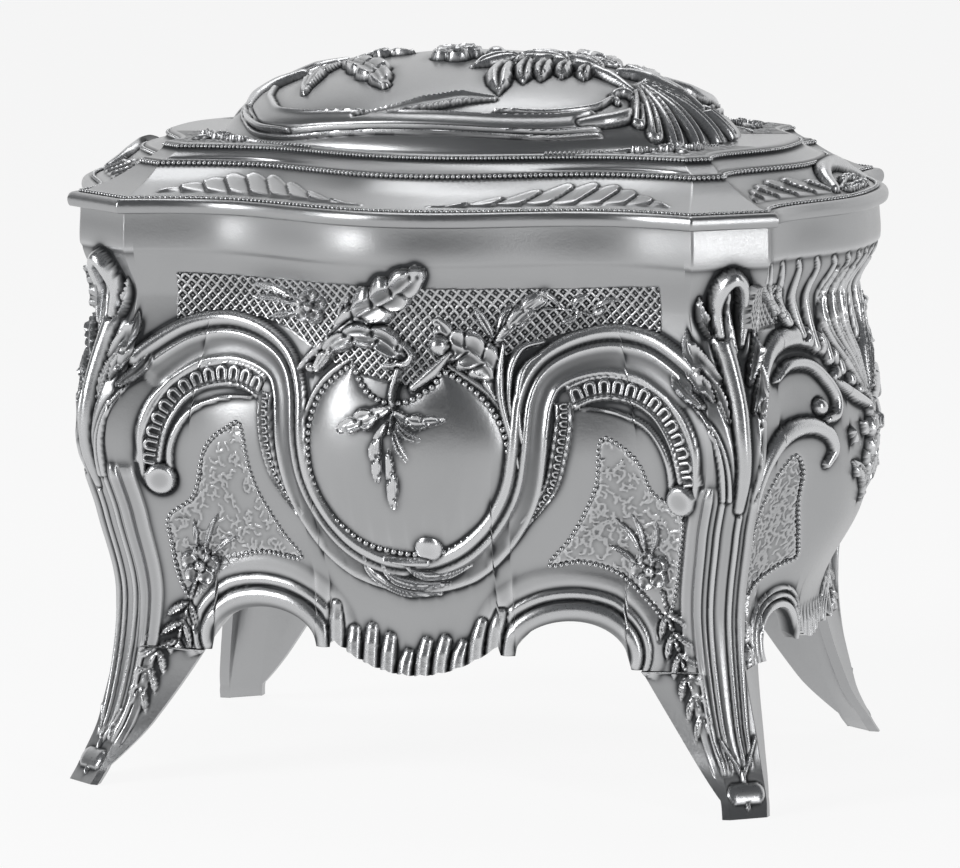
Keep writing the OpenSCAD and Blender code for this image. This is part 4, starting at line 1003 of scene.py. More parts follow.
def leg_surface(z, wide, front_cut, cant_cut, end_cut):
    """Plain outer points of the right front leg with their chart positions."""
    o = body_at(z)
    ax, ay = corner_a(o)
    bx, by = corner_b(o)
    wf = np.where(wide > 0.5, strip_width(z, 12.4), POST_RETURN)
    we = np.where(wide > 0.5, strip_width(z, 9.6), POST_RETURN)
    s = np.linspace(0, 1, front_cut, endpoint=False)
    xf = (ax - wf)[:, None] + wf[:, None] * s
    zf = np.repeat(z[:, None], len(s), axis=1)
    front = np.stack([xf, -front_at(o[:, None, :], xf), zf], axis=-1)
    qf = xf - ax[:, None]
    s = np.linspace(0, 1, cant_cut, endpoint=False)
    zc = np.repeat(z[:, None], len(s), axis=1)
    cant = np.stack([ax[:, None] * (1 - s) + bx[:, None] * s, -ay[:, None] * (1 - s) - by[:, None] * s, zc],
                    axis=-1)
    qc = o[:, 2][:, None] * s
    s = np.linspace(0, 1, end_cut)
    ye = -by[:, None] + we[:, None] * s
    ze = np.repeat(z[:, None], len(s), axis=1)
    end = np.stack([end_at(o[:, None, :], ye), ye, ze], axis=-1)
    qe = o[:, 2][:, None] + we[:, None] * s
    return np.concatenate([front, cant, end], axis=1), np.concatenate([qf, qc, qe], axis=1)


def leg_casting():
    """Outer points, inner points and values of the right front leg."""
    z, wide = leg_rows(FINE)
    base, q = leg_surface(z, wide, int(34 * FINE), int(44 * FINE), int(28 * FINE))
    zz = np.repeat(z[:, None], q.shape[1], axis=1)
    corner = Relief(np.stack([q, zz], axis=-1))
    corner_ornament(corner)
    h = corner.h.reshape(q.shape)
    flat = Relief(np.stack([base[..., 0], zz], axis=-1))
    front_ornament(flat)
    h = np.where(q < 0, np.maximum(h, flat.h.reshape(q.shape)), h)
    h = h * np.clip((BODY_TOP - 1.0 - zz) / 1.0, 0, 1) * np.clip(zz / 1.5, 0, 1) + neck_step(zz)
    low, top = patina_shade_and_rub_highlight(h, 0.33 / FINE)
    smooth_base = base.copy()
    for _ in range(3):
        smooth_base[:, 1:-1] = (smooth_base[:, :-2] + 2 * smooth_base[:, 1:-1] + smooth_base[:, 2:]) / 4
    outer = push(base, grid_normals(smooth_base), h)
    o = body_at(z)
    ax, ay = corner_a(o)
    bx, by = corner_b(o)
    wf = np.where(wide > 0.5, strip_width(z, 12.4), POST_RETURN)
    we = np.where(wide > 0.5, strip_width(z, 9.6), POST_RETURN)
    front_half = np.maximum(wf / 2, 0.9)
    inner = np.stack([
        np.stack([ax - wf, -front_at(o, ax - wf) + WALL, z], axis=-1),
        np.stack([ax - front_half, -front_at(o, ax - front_half) + WALL, z], axis=-1),
        np.stack([ax - 0.37 * WALL, -ay + WALL, z], axis=-1),
        np.stack([bx - WALL, -by + 0.5 * WALL, z], axis=-1),
        np.stack([end_at(o, by - np.maximum(we / 2, 1.1)) - WALL, -by + np.maximum(we / 2, 1.1), z], axis=-1),
        np.stack([end_at(o, by - we) - WALL, -by + we, z], axis=-1),
    ], axis=1)
    return outer, inner, {"hollow": low, "proud": top}


def mirrored(outer, inner, sign):
    """A casting turned over to another corner, with its rows reversed so that it stays inside out."""
    flips = sign[0] * sign[1] < 0
    a, b = outer * sign, inner * sign
    return (a[:, ::-1], b[:, ::-1]) if flips else (a, b)


leg_outer, leg_inner, leg_values = leg_casting()
legs = {}
for name, sign in (("front_right_leg", (1, 1, 1)), ("front_left_leg", (-1, 1, 1)),
                   ("rear_right_leg", (1, -1, 1)), ("rear_left_leg", (-1, -1, 1))):
    sign = np.array(sign, float)
    outer, inner = mirrored(leg_outer, leg_inner, sign)
    flips = sign[0] * sign[1] < 0
    values = {k: v[:, ::-1] if flips else v for k, v in leg_values.items()}
    legs[name] = add_shell(name + "_casting", outer, inner, values)
print("leg faces:", len(legs["front_left_leg"].data.polygons))

# %% [markdown]
# ## Lid
#
# The lid's skirt is lofted through outlines, from the rounded rim over a shelf for the beads, up the
# slope to the upper tier and on to the platform. The dome is a grid stretched over an oval.

# %% Lid castings
FRONT_RUN = 52.0
CORNER_RUN = 10.0
END_RUN = 38.0


def ring_points(o, front_cut, corner_cut, end_cut):
    """Points round an outline, anticlockwise from the front's left end."""
    s = np.linspace(-1, 1, front_cut, endpoint=False)
    e = np.linspace(-1, 1, end_cut, endpoint=False)
    k = np.linspace(0, 1, corner_cut, endpoint=False)
    ax, ay = corner_a(o)
    bx, by = corner_b(o)
    front = np.stack([s * ax, -front_at(o, s * ax)], axis=1)
    right = np.stack([ax + (bx - ax) * k, -(ay + (by - ay) * k)], axis=1)
    end = np.stack([end_at(o, e * by), e * by], axis=1)
    rear = np.stack([bx + (ax - bx) * k, by + (ay - by) * k], axis=1)
    half = np.concatenate([front, right, end, rear])
    return np.concatenate([half, -half])


def ring_run(front_cut, corner_cut, end_cut):
    """Chart position round the lid of each point of a ring."""
    s = np.linspace(-FRONT_RUN, FRONT_RUN, front_cut, endpoint=False)
    first = FRONT_RUN + np.linspace(0, CORNER_RUN, corner_cut, endpoint=False)
    end = FRONT_RUN + CORNER_RUN + np.linspace(0, 2 * END_RUN, end_cut, endpoint=False)
    second = FRONT_RUN + CORNER_RUN + 2 * END_RUN + np.linspace(0, CORNER_RUN, corner_cut, endpoint=False)
    half = np.concatenate([s, first, end, second])
    return np.concatenate([half, half])


def loft(knots, rows):
    """Outlines and heights between a few given ones, at even steps along the section."""
    table = np.array([list(o) + [z] for o, z in knots])
    line = curve(table[:, [3, 6]])
    full = curve(table)
    steps = np.linalg.norm(np.diff(line, axis=0), axis=1)
    run = np.concatenate([[0], np.cumsum(steps)])
    want = np.linspace(0, run[-1], rows)
    return np.stack([np.interp(want, run, full[:, k]) for k in range(7)], axis=1), want


def mixed(o, p, s):
    """An outline between two others."""
    return o * (1 - s) + p * s


SKIRT = [
    (inset(RIM, 0.9), 0.0), (inset(RIM, 0.3), 0.15), (inset(RIM, 0.0), 0.9), (inset(RIM, 0.0), 1.7),
    (inset(RIM, 0.35), 2.4), (inset(RIM, 1.0), 2.75), (inset(RIM, 1.6), 2.6), (inset(RIM, 3.0), 2.9),
    (mixed(inset(RIM, 3.0), TIER, 0.25), 3.9), (mixed(inset(RIM, 3.0), TIER, 0.6), 5.5),
    (mixed(inset(RIM, 3.0), TIER, 0.92), 7.5), (TIER, 8.3),
]
DECK = [
    (TIER, 8.3), (inset(TIER, 0.5), 8.8), (inset(TIER, 1.2), 8.7), (mixed(TIER, PLATFORM, 0.5), 9.2),
    (mixed(TIER, PLATFORM, 0.85), 10.2), (mixed(TIER, PLATFORM, 0.97), 11.2), (inset(PLATFORM, 0.4), 11.6),
]


def fins(r, points, heights, lobes, level, hand=1, lean=0.7):
    """A low leaf of overlapping folds that stands on a line; each fold rises slowly and drops sharply."""
    line = curve(points)
    pick = r.near(line, float(np.max(heights)) + 0.5)
    dist, t, side = nearest_on(line, r.p[pick])
    tall = np.maximum(along(heights, t), 1e-3)
    phase = (t - lean * dist / path_length(line)) * lobes
    share = phase - np.floor(phase)
    crest = tall * (0.74 + 0.26 * np.sin(np.pi * share) ** 0.7)
    inside = (side * hand > 0) & (dist < crest) & (t > 0) & (t < 1)
    edge = np.clip((crest - dist) / 0.5, 0, 1) ** 0.5
    foot = np.clip(dist / 0.8, 0, 1)
    rim = 0.25 * np.exp(-(((crest - dist - 0.35) / 0.3) ** 2))
    value = level * (0.3 + 0.7 * share ** 1.5 + rim) * edge * (0.4 + 0.6 * foot)
    r.h[pick] = np.where(inside, np.maximum(r.h[pick], value), r.h[pick])


def skirt_ornament(r):
    """Everything raised on the lid's slope: round the lid and up the slope."""
    for centre in (0.0, 200.0):
        for s in (-1, 1):
            fins(r, [(centre + s * 8.0, 7.2), (centre + s * 28.0, 7.3), (centre + s * 48.0, 7.6)],
                 [0.4, 1.4, 3.2, 5.2, 6.8, 7.0, 6.2, 3.4, 0.4], 9, 0.75, s)
            r.stroke([(centre + s * 6.0, 7.3), (centre + s * 20.0, 8.0), (centre + s * 34.0, 8.0)],
                     [0.4, 0.8, 0.4],
                     [0.2, 0.4, 0.2], "round")
    for centre in (100.0, 300.0):
        for s in (-1, 1):
            fins(r, [(centre + s * 12.0, 7.4), (centre + s * 34.0, 7.6)], [4.6, 6.4, 6.2, 4.4, 1.6], 5, 0.8,
                 s)
        r.stroke([(centre - 10.4, 8.4), (centre - 7.6, 12.6), (centre - 3.0, 15.0), (centre + 3.0, 15.0),
                  (centre + 7.6, 12.6), (centre + 10.4, 8.4)], [2.2, 3.4, 4.0, 4.0, 3.4, 2.2],
                 [1.2, 1.9, 2.2, 2.2, 1.9, 1.2],
                 "round", 0.5)
        for k in range(-3, 4):
            r.disc((centre + 1.9 * k, 10.6 - 0.22 * k * k), 0.85, 1.2, "round", 0.4)
        for k in range(-4, 5):
            leaf(r, [(centre + 1.5 * k, 6.4), (centre + 1.8 * k, 7.8), (centre + 2.0 * k, 9.0)], 1.4, 1.0)


DOME_A = 49.0
DOME_B = 38.0
DOME_RISE = 15.4
DOME_RUN_A = 55.0
DOME_RUN_B = 45.0
PLATFORM_Z = 11.6
BEAD_SHADE_REACH = 0.55
BEAD_SHADE_AND_PATINA = 0.85


def skirt_part(knots, rows, inner_knots, ornament, to_oval=False):
    """One band of the lid as a closed casting."""
    cuts = (int(360 * FINE), int(40 * FINE), int(260 * FINE))
    outlines, run = loft(knots, rows)
    base = np.stack([
        np.column_stack([ring_points(o[:6], *cuts), np.full(2 * sum(cuts) + 2 * cuts[1], RIM_Z + o[6])])
        for o in outlines
    ])
    around = ring_run(*cuts)
    chart = np.stack(np.broadcast_arrays(around[None, :], run[:, None]), axis=-1)
    r = Relief(chart)
    ornament(r)
    h = r.h.reshape(chart.shape[:2])
    low, top = patina_shade_and_rub_highlight(h, 0.35 / FINE, closed=True)
    # painted shade and patina: dark bands on the lid's ground along the rim, tier and deck bead rows, round
    # the separately made beads
    for reach in (RIM[3] - 2.15, TIER[3] + 0.25, (TIER[3] + 9 * PLATFORM[3]) / 10):
        row = np.exp(-(((outlines[:, 3] - reach) / BEAD_SHADE_REACH) ** 2))
        low = np.maximum(low, BEAD_SHADE_AND_PATINA * row[:, None])
    outer = push(base, grid_normals(base, closed=True), h)
    if to_oval:
        last = base[-1]
        turn = np.arctan2(last[:, 1] / DOME_B, last[:, 0] / DOME_A)
        goal = np.stack([0.965 * DOME_A * np.cos(turn), 0.965 * DOME_B * np.sin(turn), last[:, 2]], axis=-1)
        extra = [last * (1 - k) + goal * k for k in np.linspace(0, 1, 9)[1:]]
        outer = np.concatenate([outer, np.stack(extra)])
        pad = [(0, len(extra)), (0, 0)]
        low, top = np.pad(low, pad), np.pad(top, pad)
        r.ground = np.pad(r.ground.reshape(h.shape), pad)
    inner = np.stack([
        np.column_stack([ring_points(o, 48, 6, 36), np.full(192, RIM_Z + z)]) for o, z in inner_knots
    ])
    return outer, inner, {"hollow": low, "proud": top, "stipple": r.ground.reshape(low.shape)}


def notch(points):
    """The flat cut in the lid's back edge for the hinge."""
    cut = (np.abs(points[..., 0]) < 13.3) & (points[..., 2] < RIM_Z + 6.4)
    points[..., 1] = np.where(cut, np.minimum(points[..., 1], SEAT_Y), points[..., 1])
    return points


skirt_inner = [(inset(RIM, 6.0), 0.0), (inset(RIM, 7.0), 2.7), (inset(TIER, 2.6), 6.0),
               (inset(TIER, 2.7), 6.6)]
outer, inner, values = skirt_part(SKIRT, int(62 * FINE), skirt_inner, skirt_ornament)
lid_skirt = add_shell("lid_skirt_casting", notch(outer), inner, values, closed=True)
deck_inner = [(inset(TIER, 2.6), 6.0), (inset(PLATFORM, 2.0), 9.4), (inset(PLATFORM, 2.6), 9.6)]
outer, inner, values = skirt_part(DECK, int(34 * FINE), deck_inner, lambda r: None, True)
lid_deck = add_shell("lid_deck_casting", outer, inner, values, closed=True)

def dome_height(radius):
    """Height of the dome over the platform at a share of its radius."""
    return DOME_RISE * np.clip(1 - radius ** 2, 0, 1) ** 0.7


def even_radii():
    """Shares of the dome's radius at even steps of the way up its side."""
    radius = 1 - np.linspace(1, 0, 4000) ** 3
    height = dome_height(radius)
    steps = np.hypot(42 * np.diff(radius), np.diff(height))
    run = np.concatenate([[0], np.cumsum(steps)])
    return run / run[-1], radius


def dome_points(n):
    """Points of the plain dome on an even grid, with their chart positions."""
    u, v = np.meshgrid(np.linspace(-1, 1, n), np.linspace(-1, 1, n))
    dx = u * np.sqrt(1 - v * v / 2)
    dy = v * np.sqrt(1 - u * u / 2)
    t = np.hypot(dx, dy)
    share, radius = even_radii()
    scale = np.interp(t, share, radius) / np.maximum(t, 1e-9)
    x, y = DOME_A * dx * scale, DOME_B * dy * scale
    z = RIM_Z + PLATFORM_Z + dome_height(np.clip(t * scale, 0, 1))
    chart = np.stack([DOME_RUN_A * dx, DOME_RUN_B * dy], axis=-1)
    return np.stack([x, y, z], axis=-1), chart


DOME_RIBBON = [(-43.4, -5.0), (-42.2, -14.0), (-40.2, -20.0), (-36.8, -26.9), (-30.6, -31.8),
               (-23.9, -34.6), (-14.0, -37.0), (-2.0, -38.2), (12.0, -37.4), (23.0, -34.2), (31.6, -28.6)]
RIBBON_SECTION = [(-4.7, 0.0), (-4.4, 0.6), (-4.0, 0.95), (-3.6, 0.5), (-3.2, 0.2), (-2.8, 0.7),
                  (-2.4, 1.05), (-2.0, 0.6), (-1.7, 0.3), (-1.3, 0.65), (0.0, 0.8), (1.5, 0.8),
                  (2.1, 0.95), (2.5, 1.2), (2.9, 0.9), (3.2, 0.0)]


def turned(points):
    """The same path turned half round for the back of the dome."""
    return [(-x, -y) for x, y in points]


def dome_half(r, flip):
    """The ribbon round one side of the dome, the scroll leaf in it and the rolls at its ends."""
    r.moulding(flip(DOME_RIBBON), RIBBON_SECTION, [1.0, 1.0, 1.0, 0.92, 0.82, 0.74, 0.7, 0.7, 0.8, 0.9],
               [0.9, 1, 1, 1, 0.9, 1])
    r.stroke(flip([(-16.0, -35.6), (-7.0, -34.6), (-0.6, -33.2), (4.6, -31.2), (10.6, -30.0)]),
             [0.6, 1.8, 3.6, 3.6, 1.2],
             [0.4, 0.9, 1.5, 1.4, 0.7], "hollow", 0.3)
    r.stroke(flip([(-44.6, -15.0), (-44.0, -8.0), (-40.6, -3.4), (-34.6, -1.2)]), [2.0, 3.4, 3.8, 2.4],
             [1.2, 2.0, 2.2, 1.6],
             "round", 0.5)
    r.stroke(flip([(-45.4, -13.3), (-43.4, -21.0), (-38.6, -28.6), (-30.8, -34.6)]), [0.8, 1.4, 1.4, 0.8],
             1.3, "round", 0.4)
    r.stroke(flip([(28.6, -31.0), (34.0, -26.4), (36.8, -21.0), (35.8, -16.6), (32.6, -15.8),
                   (31.2, -18.4), (32.8, -20.4)]),
             [2.2, 3.4, 3.2, 2.6, 2.2, 1.8, 1.2], [1.0, 1.7, 1.9, 1.8, 1.7, 1.6, 1.2], "round", 0.5)
    r.stroke(flip([(12.0, -34.2), (22.0, -31.0), (29.0, -25.4), (31.4, -19.4)]), [0.6, 1.4, 1.6, 1.0], 1.1,
             "round", 0.3)
    for tip, width in (((38.4, -23.4), 3.6), ((42.6, -24.2), 3.8), ((46.8, -21.8), 4.2), ((50.4, -17.0), 4.4),
                       ((52.8, -10.6), 4.4), ((53.6, -3.4), 4.0)):
        r.stroke(flip([(31.0 + 0.06 * tip[0], -6.0 + 0.16 * tip[1]),
                       (0.52 * tip[0] + 16.0, 0.62 * tip[1] - 2.0), tip]),
                 [2.0, 0.8 * width, width], [1.7, 1.9, 1.5], "leaf", 0.3)
    r.stroke(flip([(28.6, -4.6), (33.0, -2.4), (39.0, -2.6), (46.0, -4.2)]), [2.4, 4.2, 4.0, 2.0],
             [1.6, 2.3, 2.1, 1.2], "round",
             0.5)
    r.stroke(flip([(-34.4, -1.6), (-30.0, -2.4), (-26.4, -4.0)]), [1.4, 1.2, 1.6], 1.5, "round", 0.4)
    acanthus(r, flip([(-27.0, -3.4), (-30.0, -11.0), (-30.2, -21.4)]), [1.2, 4.8, 1.6], [1.1, 1.8, 1.0], 2)
    acanthus(r, flip([(-26.6, -4.0), (-21.0, -12.0), (-16.0, -19.0), (-12.4, -25.6)]), [1.4, 5.6, 7.4, 2.6],
             [1.1, 2.0, 2.2, 1.2], 4)
    acanthus(r, flip([(-26.0, -3.0), (-20.0, -1.4), (-13.4, -2.6)]), [1.2, 4.8, 1.6], [1.0, 1.8, 1.0], 3)


def dome_ornament(r):
    """Everything raised on the dome's chart."""
    dome_half(r, lambda p: p)
    dome_half(r, turned)
    flower(r, (-2.6, -8.4), 4.6, 1.8)
    r.disc((4.4, -6.0), 2.0, 1.7, "round", 0.5)
    r.stroke([(33.6, -12.9), (27.0, -9.5), (20.0, -8.5), (13.0, -10.5), (9.6, -15.0)],
             [1.2, 2.8, 3.4, 3.6, 3.0],
             [1.0, 1.8, 2.0, 2.1, 2.0], "round", 0.4)
    for points, width in (([(9.8, -13.0), (9.0, -20.0), (11.1, -28.4)], 5.2), ([(12.6, -10.6),
                                                                                (12.8, -16.4),
                                                                                (14.2, -22.6)], 4.0),
                          ([(16.2, -9.4), (15.9, -15.0), (17.0, -20.2)], 3.8), ([(19.8, -8.6),
                                                                                 (19.4, -13.0),
                                                                                 (20.2, -16.8)], 3.4),
                          ([(23.6, -9.0), (23.2, -12.0), (24.0, -14.8)], 3.0), ([(20.0, -9.0),
                                                                                 (15.0, -4.8),
                                                                                 (8.4, -4.6)], 4.4),
                          ([(26.6, -9.0), (22.4, -4.0), (15.6, -1.6)], 3.8), ([(12.0, -11.0),
                                                                               (7.4, -12.0), (2.6, -17.0)],
                                                                              4.6)):
        leaf(r, points, width, 2.2)


def dome_casting():
    """Outer points, inner points and values of the dome."""
    n = int(306 * FINE)
    base, chart = dome_points(n)
    r = Relief(chart)
    dome_ornament(r)
    h = r.h.reshape(n, n)
    low, top = patina_shade_and_rub_highlight(h, 0.34 / FINE)
    normals = grid_normals(base)
    outer = push(base, normals, h)
    under, _ = dome_points(24)
    inner = (under - np.array([0, 0, RIM_Z + 10.0])) * np.array([0.965, 0.95, 0.9]) + np.array([0, 0,
                                                                                                RIM_Z + 8.6])
    return outer, inner, {"hollow": low, "proud": top, "stipple": r.ground.reshape(n, n)}


dome_outer, dome_inner, dome_values = dome_casting()
lid_dome = add_shell("lid_dome_casting", dome_outer, dome_inner, dome_values)
print("lid faces:", len(lid_skirt.data.polygons), len(lid_deck.data.polygons), len(lid_dome.data.polygons))

# %% [markdown]
# ## Beads
#
# A bead row is a string of small domes on a surface, all in one mesh.

# %% Bead rows


def bead_shape(cuts=10, bands=4):
    """Points and faces of one small dome of radius 1."""
    points = [(0.0, 0.0, 1.0)]
    for k in range(1, bands + 1):
        w = math.pi / 2 * 1.15 * k / bands
        for i in range(cuts):
            a = 2 * math.pi * i / cuts
            points.append((math.sin(w) * math.cos(a), math.sin(w) * math.sin(a), math.cos(w)))
    faces = [(0, 1 + i, 1 + (i + 1) % cuts) for i in range(cuts)]
    for k in range(bands - 1):
        for i in range(cuts):
            j = (i + 1) % cuts
            a, b = 1 + k * cuts, 1 + (k + 1) * cuts
            faces.append((a + i, b + i, b + j, a + j))
    faces.append(tuple(1 + (bands - 1) * cuts + i for i in reversed(range(cuts))))
    return np.array(points), faces


def bead_row(name, centres, normals, radius):
    """Beads of one radius at given points, in one mesh."""
    shape, shape_faces = bead_shape()
    points, faces = [], []
    for c, n in zip(centres, normals):
        side = np.cross(n, (0.3, 0.2, 0.9))
        side /= np.linalg.norm(side)
        other = np.cross(n, side)
        start = len(points) * len(shape)
        points.append(c + radius * (shape[:, :1] * side + shape[:, 1:2] * other + shape[:, 2:] * n))
        faces.extend(tuple(start + i for i in f) for f in shape_faces)
    return add_mesh(name, np.vstack(points), faces)


def spaced(points, pitch, closed=False):
    """Even places along a path about a pitch apart."""
    line = curve(points, closed=closed)
    count = max(int(round(path_length(line) / pitch)), 2)
    spots = resample(line, count + 1)
    return spots[:-1] if closed else spots


def chart_frame(surface, chart):
    """Points and normals of a surface at chart positions."""
    u, v = chart[:, 0], chart[:, 1]
    step = 0.05
    p = surface(u, v)
    n = np.cross(surface(u + step, v) - surface(u - step, v), surface(u, v + step) - surface(u, v - step))
    return p, n / np.linalg.norm(n, axis=1, keepdims=True)


def front_beads(name, rows):
    """Rows of beads on the front's chart, as one piece."""
    centres, normals = [], []
    for points, pitch, radius, lift, closed in rows:
        spots = spaced(points, pitch, closed)
        p, n = chart_frame(front_surface, spots)
        centres.append(p + n * lift)
        normals.append(n)
    return bead_row(name, np.vstack(centres), np.vstack(normals), rows[0][2])


heart_beads = front_beads("front_shield_beads", [(HEART, 1.33, 0.60, 0.34, True)])
panel_beads = front_beads("front_panel_beads", [
    (PANEL_LEFT, 1.02, 0.46, 0.05, True), (PANEL_RIGHT, 1.02, 0.46, 0.05, True),
])


def lid_row(outline, z, pitch, tilt):
    """Places and normals of beads round the lid: on an outline, at a height, leaning out by a share."""
    ring = ring_points(outline, 700, 60, 480)
    line = np.column_stack([np.vstack([ring, ring[:1]]), np.full(len(ring) + 1, RIM_Z + z)])
    count = int(path_length(line) / pitch)
    spots = resample(line, count + 1)[:-1]
    step = np.roll(spots, -1, axis=0) - np.roll(spots, 1, axis=0)
    out = np.stack([step[:, 1], -step[:, 0], np.zeros(len(step))], axis=1)
    out /= np.linalg.norm(out, axis=1, keepdims=True)
    n = out * tilt + np.array([0, 0, 1.0])
    return spots, n / np.linalg.norm(n, axis=1, keepdims=True)


def lid_beads(name, rows, radius):
    """Rows of beads round the lid, as one piece."""
    spots = [lid_row(*row) for row in rows]
    return bead_row(name, np.vstack([p for p, n in spots]), np.vstack([n for p, n in spots]), radius)


rim_beads = lid_beads("lid_rim_beads", [(inset(RIM, 2.15), 2.86, 0.95, 0.5)], 0.45)
tier_beads = lid_beads("lid_tier_beads", [(inset(TIER, -0.35), 8.12, 0.95, 1.4)], 0.45)


def foot_row():
    """Places of the beads beside the dome's foot, in the four corners of the platform only."""
    turn = np.linspace(0, 2 * math.pi, 361)
    line = np.column_stack([1.055 * DOME_A * np.cos(turn), 1.055 * DOME_B * np.sin(turn),
                            np.full(361, RIM_Z + 11.7)])
    spots = resample(line, int(path_length(line) / 0.85) + 1)[:-1]
    spots = spots[(np.abs(spots[:, 0]) > 22) & (np.abs(spots[:, 1]) > 13)]
    return spots, np.tile([0.0, 0.0, 1.0], (len(spots), 1))


foot_beads = bead_row("lid_dome_foot_beads", *foot_row(), 0.36)
deck_beads = lid_beads("lid_deck_beads", [(mixed(TIER, PLATFORM, 0.9), 10.95, 0.75, 0.9)], 0.34)
end_rows = {}
for wall, turn in (("right", np.ones(3)), ("left", TURN)):
    centres, normals = [], []
    for outline in (END_PANEL, other_side(END_PANEL)):
        spots, n = chart_frame(end_surface, spaced(outline, 1.02, True))
        centres.append((spots + 0.05 * n) * turn)
        normals.append(n * turn)
    end_rows[wall] = bead_row(wall + "_panel_beads", np.vstack(centres), np.vstack(normals), 0.46)
print("beads:",
      [len(b.data.vertices) // 41 for b in (heart_beads, panel_beads, rim_beads, tier_beads, deck_beads)])

# %% [markdown]
# ## Fine plates on the front
#
# The lattice, the looped bands of the scrolls and the stippled panels are finer than the wall's own
# grid. Each gets a small closed plate that sits in the ground sunk for it, and the leaves of the wall
# stand up through it.

# %% Plates


def plate(surface, chart, heights, cell, patina=0.0, depth=1.6):
    """A closed plate over chart positions, raised along the surface and flat underneath."""
    p, n = chart_frame(surface, chart.reshape(-1, 2))
    p, n = p.reshape(chart.shape[:2] + (3,)), n.reshape(chart.shape[:2] + (3,))
    rows = np.unique(np.linspace(0, chart.shape[0] - 1, 10).astype(int))
    cols = np.unique(np.linspace(0, chart.shape[1] - 1, 48).astype(int))
    under = (p - n * depth)[np.ix_(rows, cols)]
    low, top = patina_shade_and_rub_highlight(heights, cell)
    floor = np.median(heights[heights < np.median(heights) + 0.001])
    sunk = np.clip(1 - (heights - floor) / (0.35 * (heights.max() - floor) + 1e-6), 0, 1)
    values = {"hollow": np.maximum(low, patina * sunk), "proud": top}
    return push(p, n, heights), under, values


def lattice_heights(x, z):
    """Crossed raised lines with a small bead in every diamond."""
    x = x + 0.10 * np.sin(0.8 * z)
    first, second = x / 1.85 + z / 2.05, x / 1.85 - z / 2.05
    line = np.zeros(x.shape)
    for q in (first, second):
        gap = np.abs(q - np.round(q)) * 1.373
        line = np.maximum(line, np.clip(1 - (gap / 0.30) ** 2, 0, 1) ** 0.5)
    a, b = first - np.floor(first) - 0.5, second - np.floor(second) - 0.5
    bead = np.clip(1 - (np.hypot((a + b) * 0.92, (a - b) * 1.02) / 0.32) ** 2, 0, 1) ** 0.5
    return np.maximum(0.42 * line, 0.24 * bead)


def lattice_plate(surface, table, columns, rows):
    """A lattice between a lower and an upper edge, given at a few places along it."""
    t = np.array(table)
    across = np.linspace(t[0, 0], t[-1, 0], columns)
    low = np.interp(across, t[:, 0], t[:, 1])
    high = np.interp(across, t[:, 0], t[:, 2])
    share = np.linspace(0, 1, rows)[:, None]
    z = low * (1 - share) + high * share
    x = np.repeat(across[None], rows, axis=0)
    h = lattice_heights(x, z) - 0.42
    return plate(surface, np.stack([x, z], axis=-1), h, 0.16, 0.8)


def loop_plate(surface, points, half, pitch, hand, top=0.62, floor=0.2):
    """A band of small upright loops, open towards its inner edge."""
    line = curve(points)
    length = path_length(line)
    cols = int(length / 0.13 * FINE) + 2
    line = resample(line, cols)
    step = np.gradient(line, axis=0)
    left = np.stack([-step[:, 1], step[:, 0]], axis=1)
    left /= np.linalg.norm(left, axis=1, keepdims=True)
    run = np.linspace(0, 1, cols)
    wide = along(half, run)
    share = np.linspace(-1, 1, max(int(24 * FINE), 8))[:, None]
    chart = line[None] + (share * wide)[..., None] * left[None]
    count = max(int(round(length / pitch)), 1)
    place = (run * count - np.floor(run * count) - 0.5) * length / count
    up = hand * share * wide
    radius = 0.3 * length / count
    crown = up - (0.9 * wide - radius - 0.3)
    gap = np.abs(np.where(crown > 0, np.hypot(place, np.maximum(crown, 0)), np.abs(place)) - radius)
    loops = np.clip(1 - (gap / (0.16 * length / count)) ** 2, 0, 1) ** 0.5
    foot = np.clip((up + 0.86 * wide) / 0.3, 0, 1)
    return plate(surface, chart, floor + top * loops * foot, 0.13, 0.6)


def worm_plate(surface, polygon, count, seed, floor=-0.3):
    """A sunk panel covered with short curved strokes."""
    p = curve(polygon, closed=True)
    low, high = p.min(0) - 0.3, p.max(0) + 0.3
    cols, rows = [max(int((b - a) / 0.2 * FINE), 8) for a, b in zip(low, high)]
    x, z = np.meshgrid(np.linspace(low[0], high[0], cols), np.linspace(low[1], high[1], rows))
    r = Relief(np.stack([x, z], axis=-1))
    dice = np.random.default_rng(seed)
    for k in range(count):
        middle = low + (high - low) * dice.random(2)
        w = 2 * math.pi * dice.random()
        way = np.array([math.cos(w), math.sin(w)])
        bend = 0.5 * dice.uniform(-1, 1) * np.array([-way[1], way[0]])
        r.stroke([middle - 0.65 * way, middle + bend, middle + 0.65 * way], 0.5, 0.2, "round")
    worms = r.h.copy()
    pick, dist = r.inside(polygon)
    h = np.full(len(worms), -1.0)
    h[pick] = -1.0 + (1.0 + floor + worms[pick]) * np.clip(dist / 0.25, 0, 1)
    return plate(surface, np.stack([x, z], axis=-1), h.reshape(x.shape), 0.2, 0.25)


def leaf_plate(low, high, cell):
    """The leaves of one part of the front, standing on the wall."""
    cols, rows = [int((b - a) / cell * FINE) for a, b in zip(low, high)]
    x, z = np.meshgrid(np.linspace(low[0], high[0], cols), np.linspace(low[1], high[1], rows))
    r = Relief(np.stack([x, z], axis=-1))
    front_leaves(r)
    h = r.h.reshape(x.shape)
    edge = np.minimum(np.minimum(x - low[0], high[0] - x), np.minimum(z - low[1], high[1] - z))
    raised = (h > 0.12) & (edge > 0.3)
    return plate(front_surface, np.stack([x, z], axis=-1), np.where(raised, h, -0.9), cell)


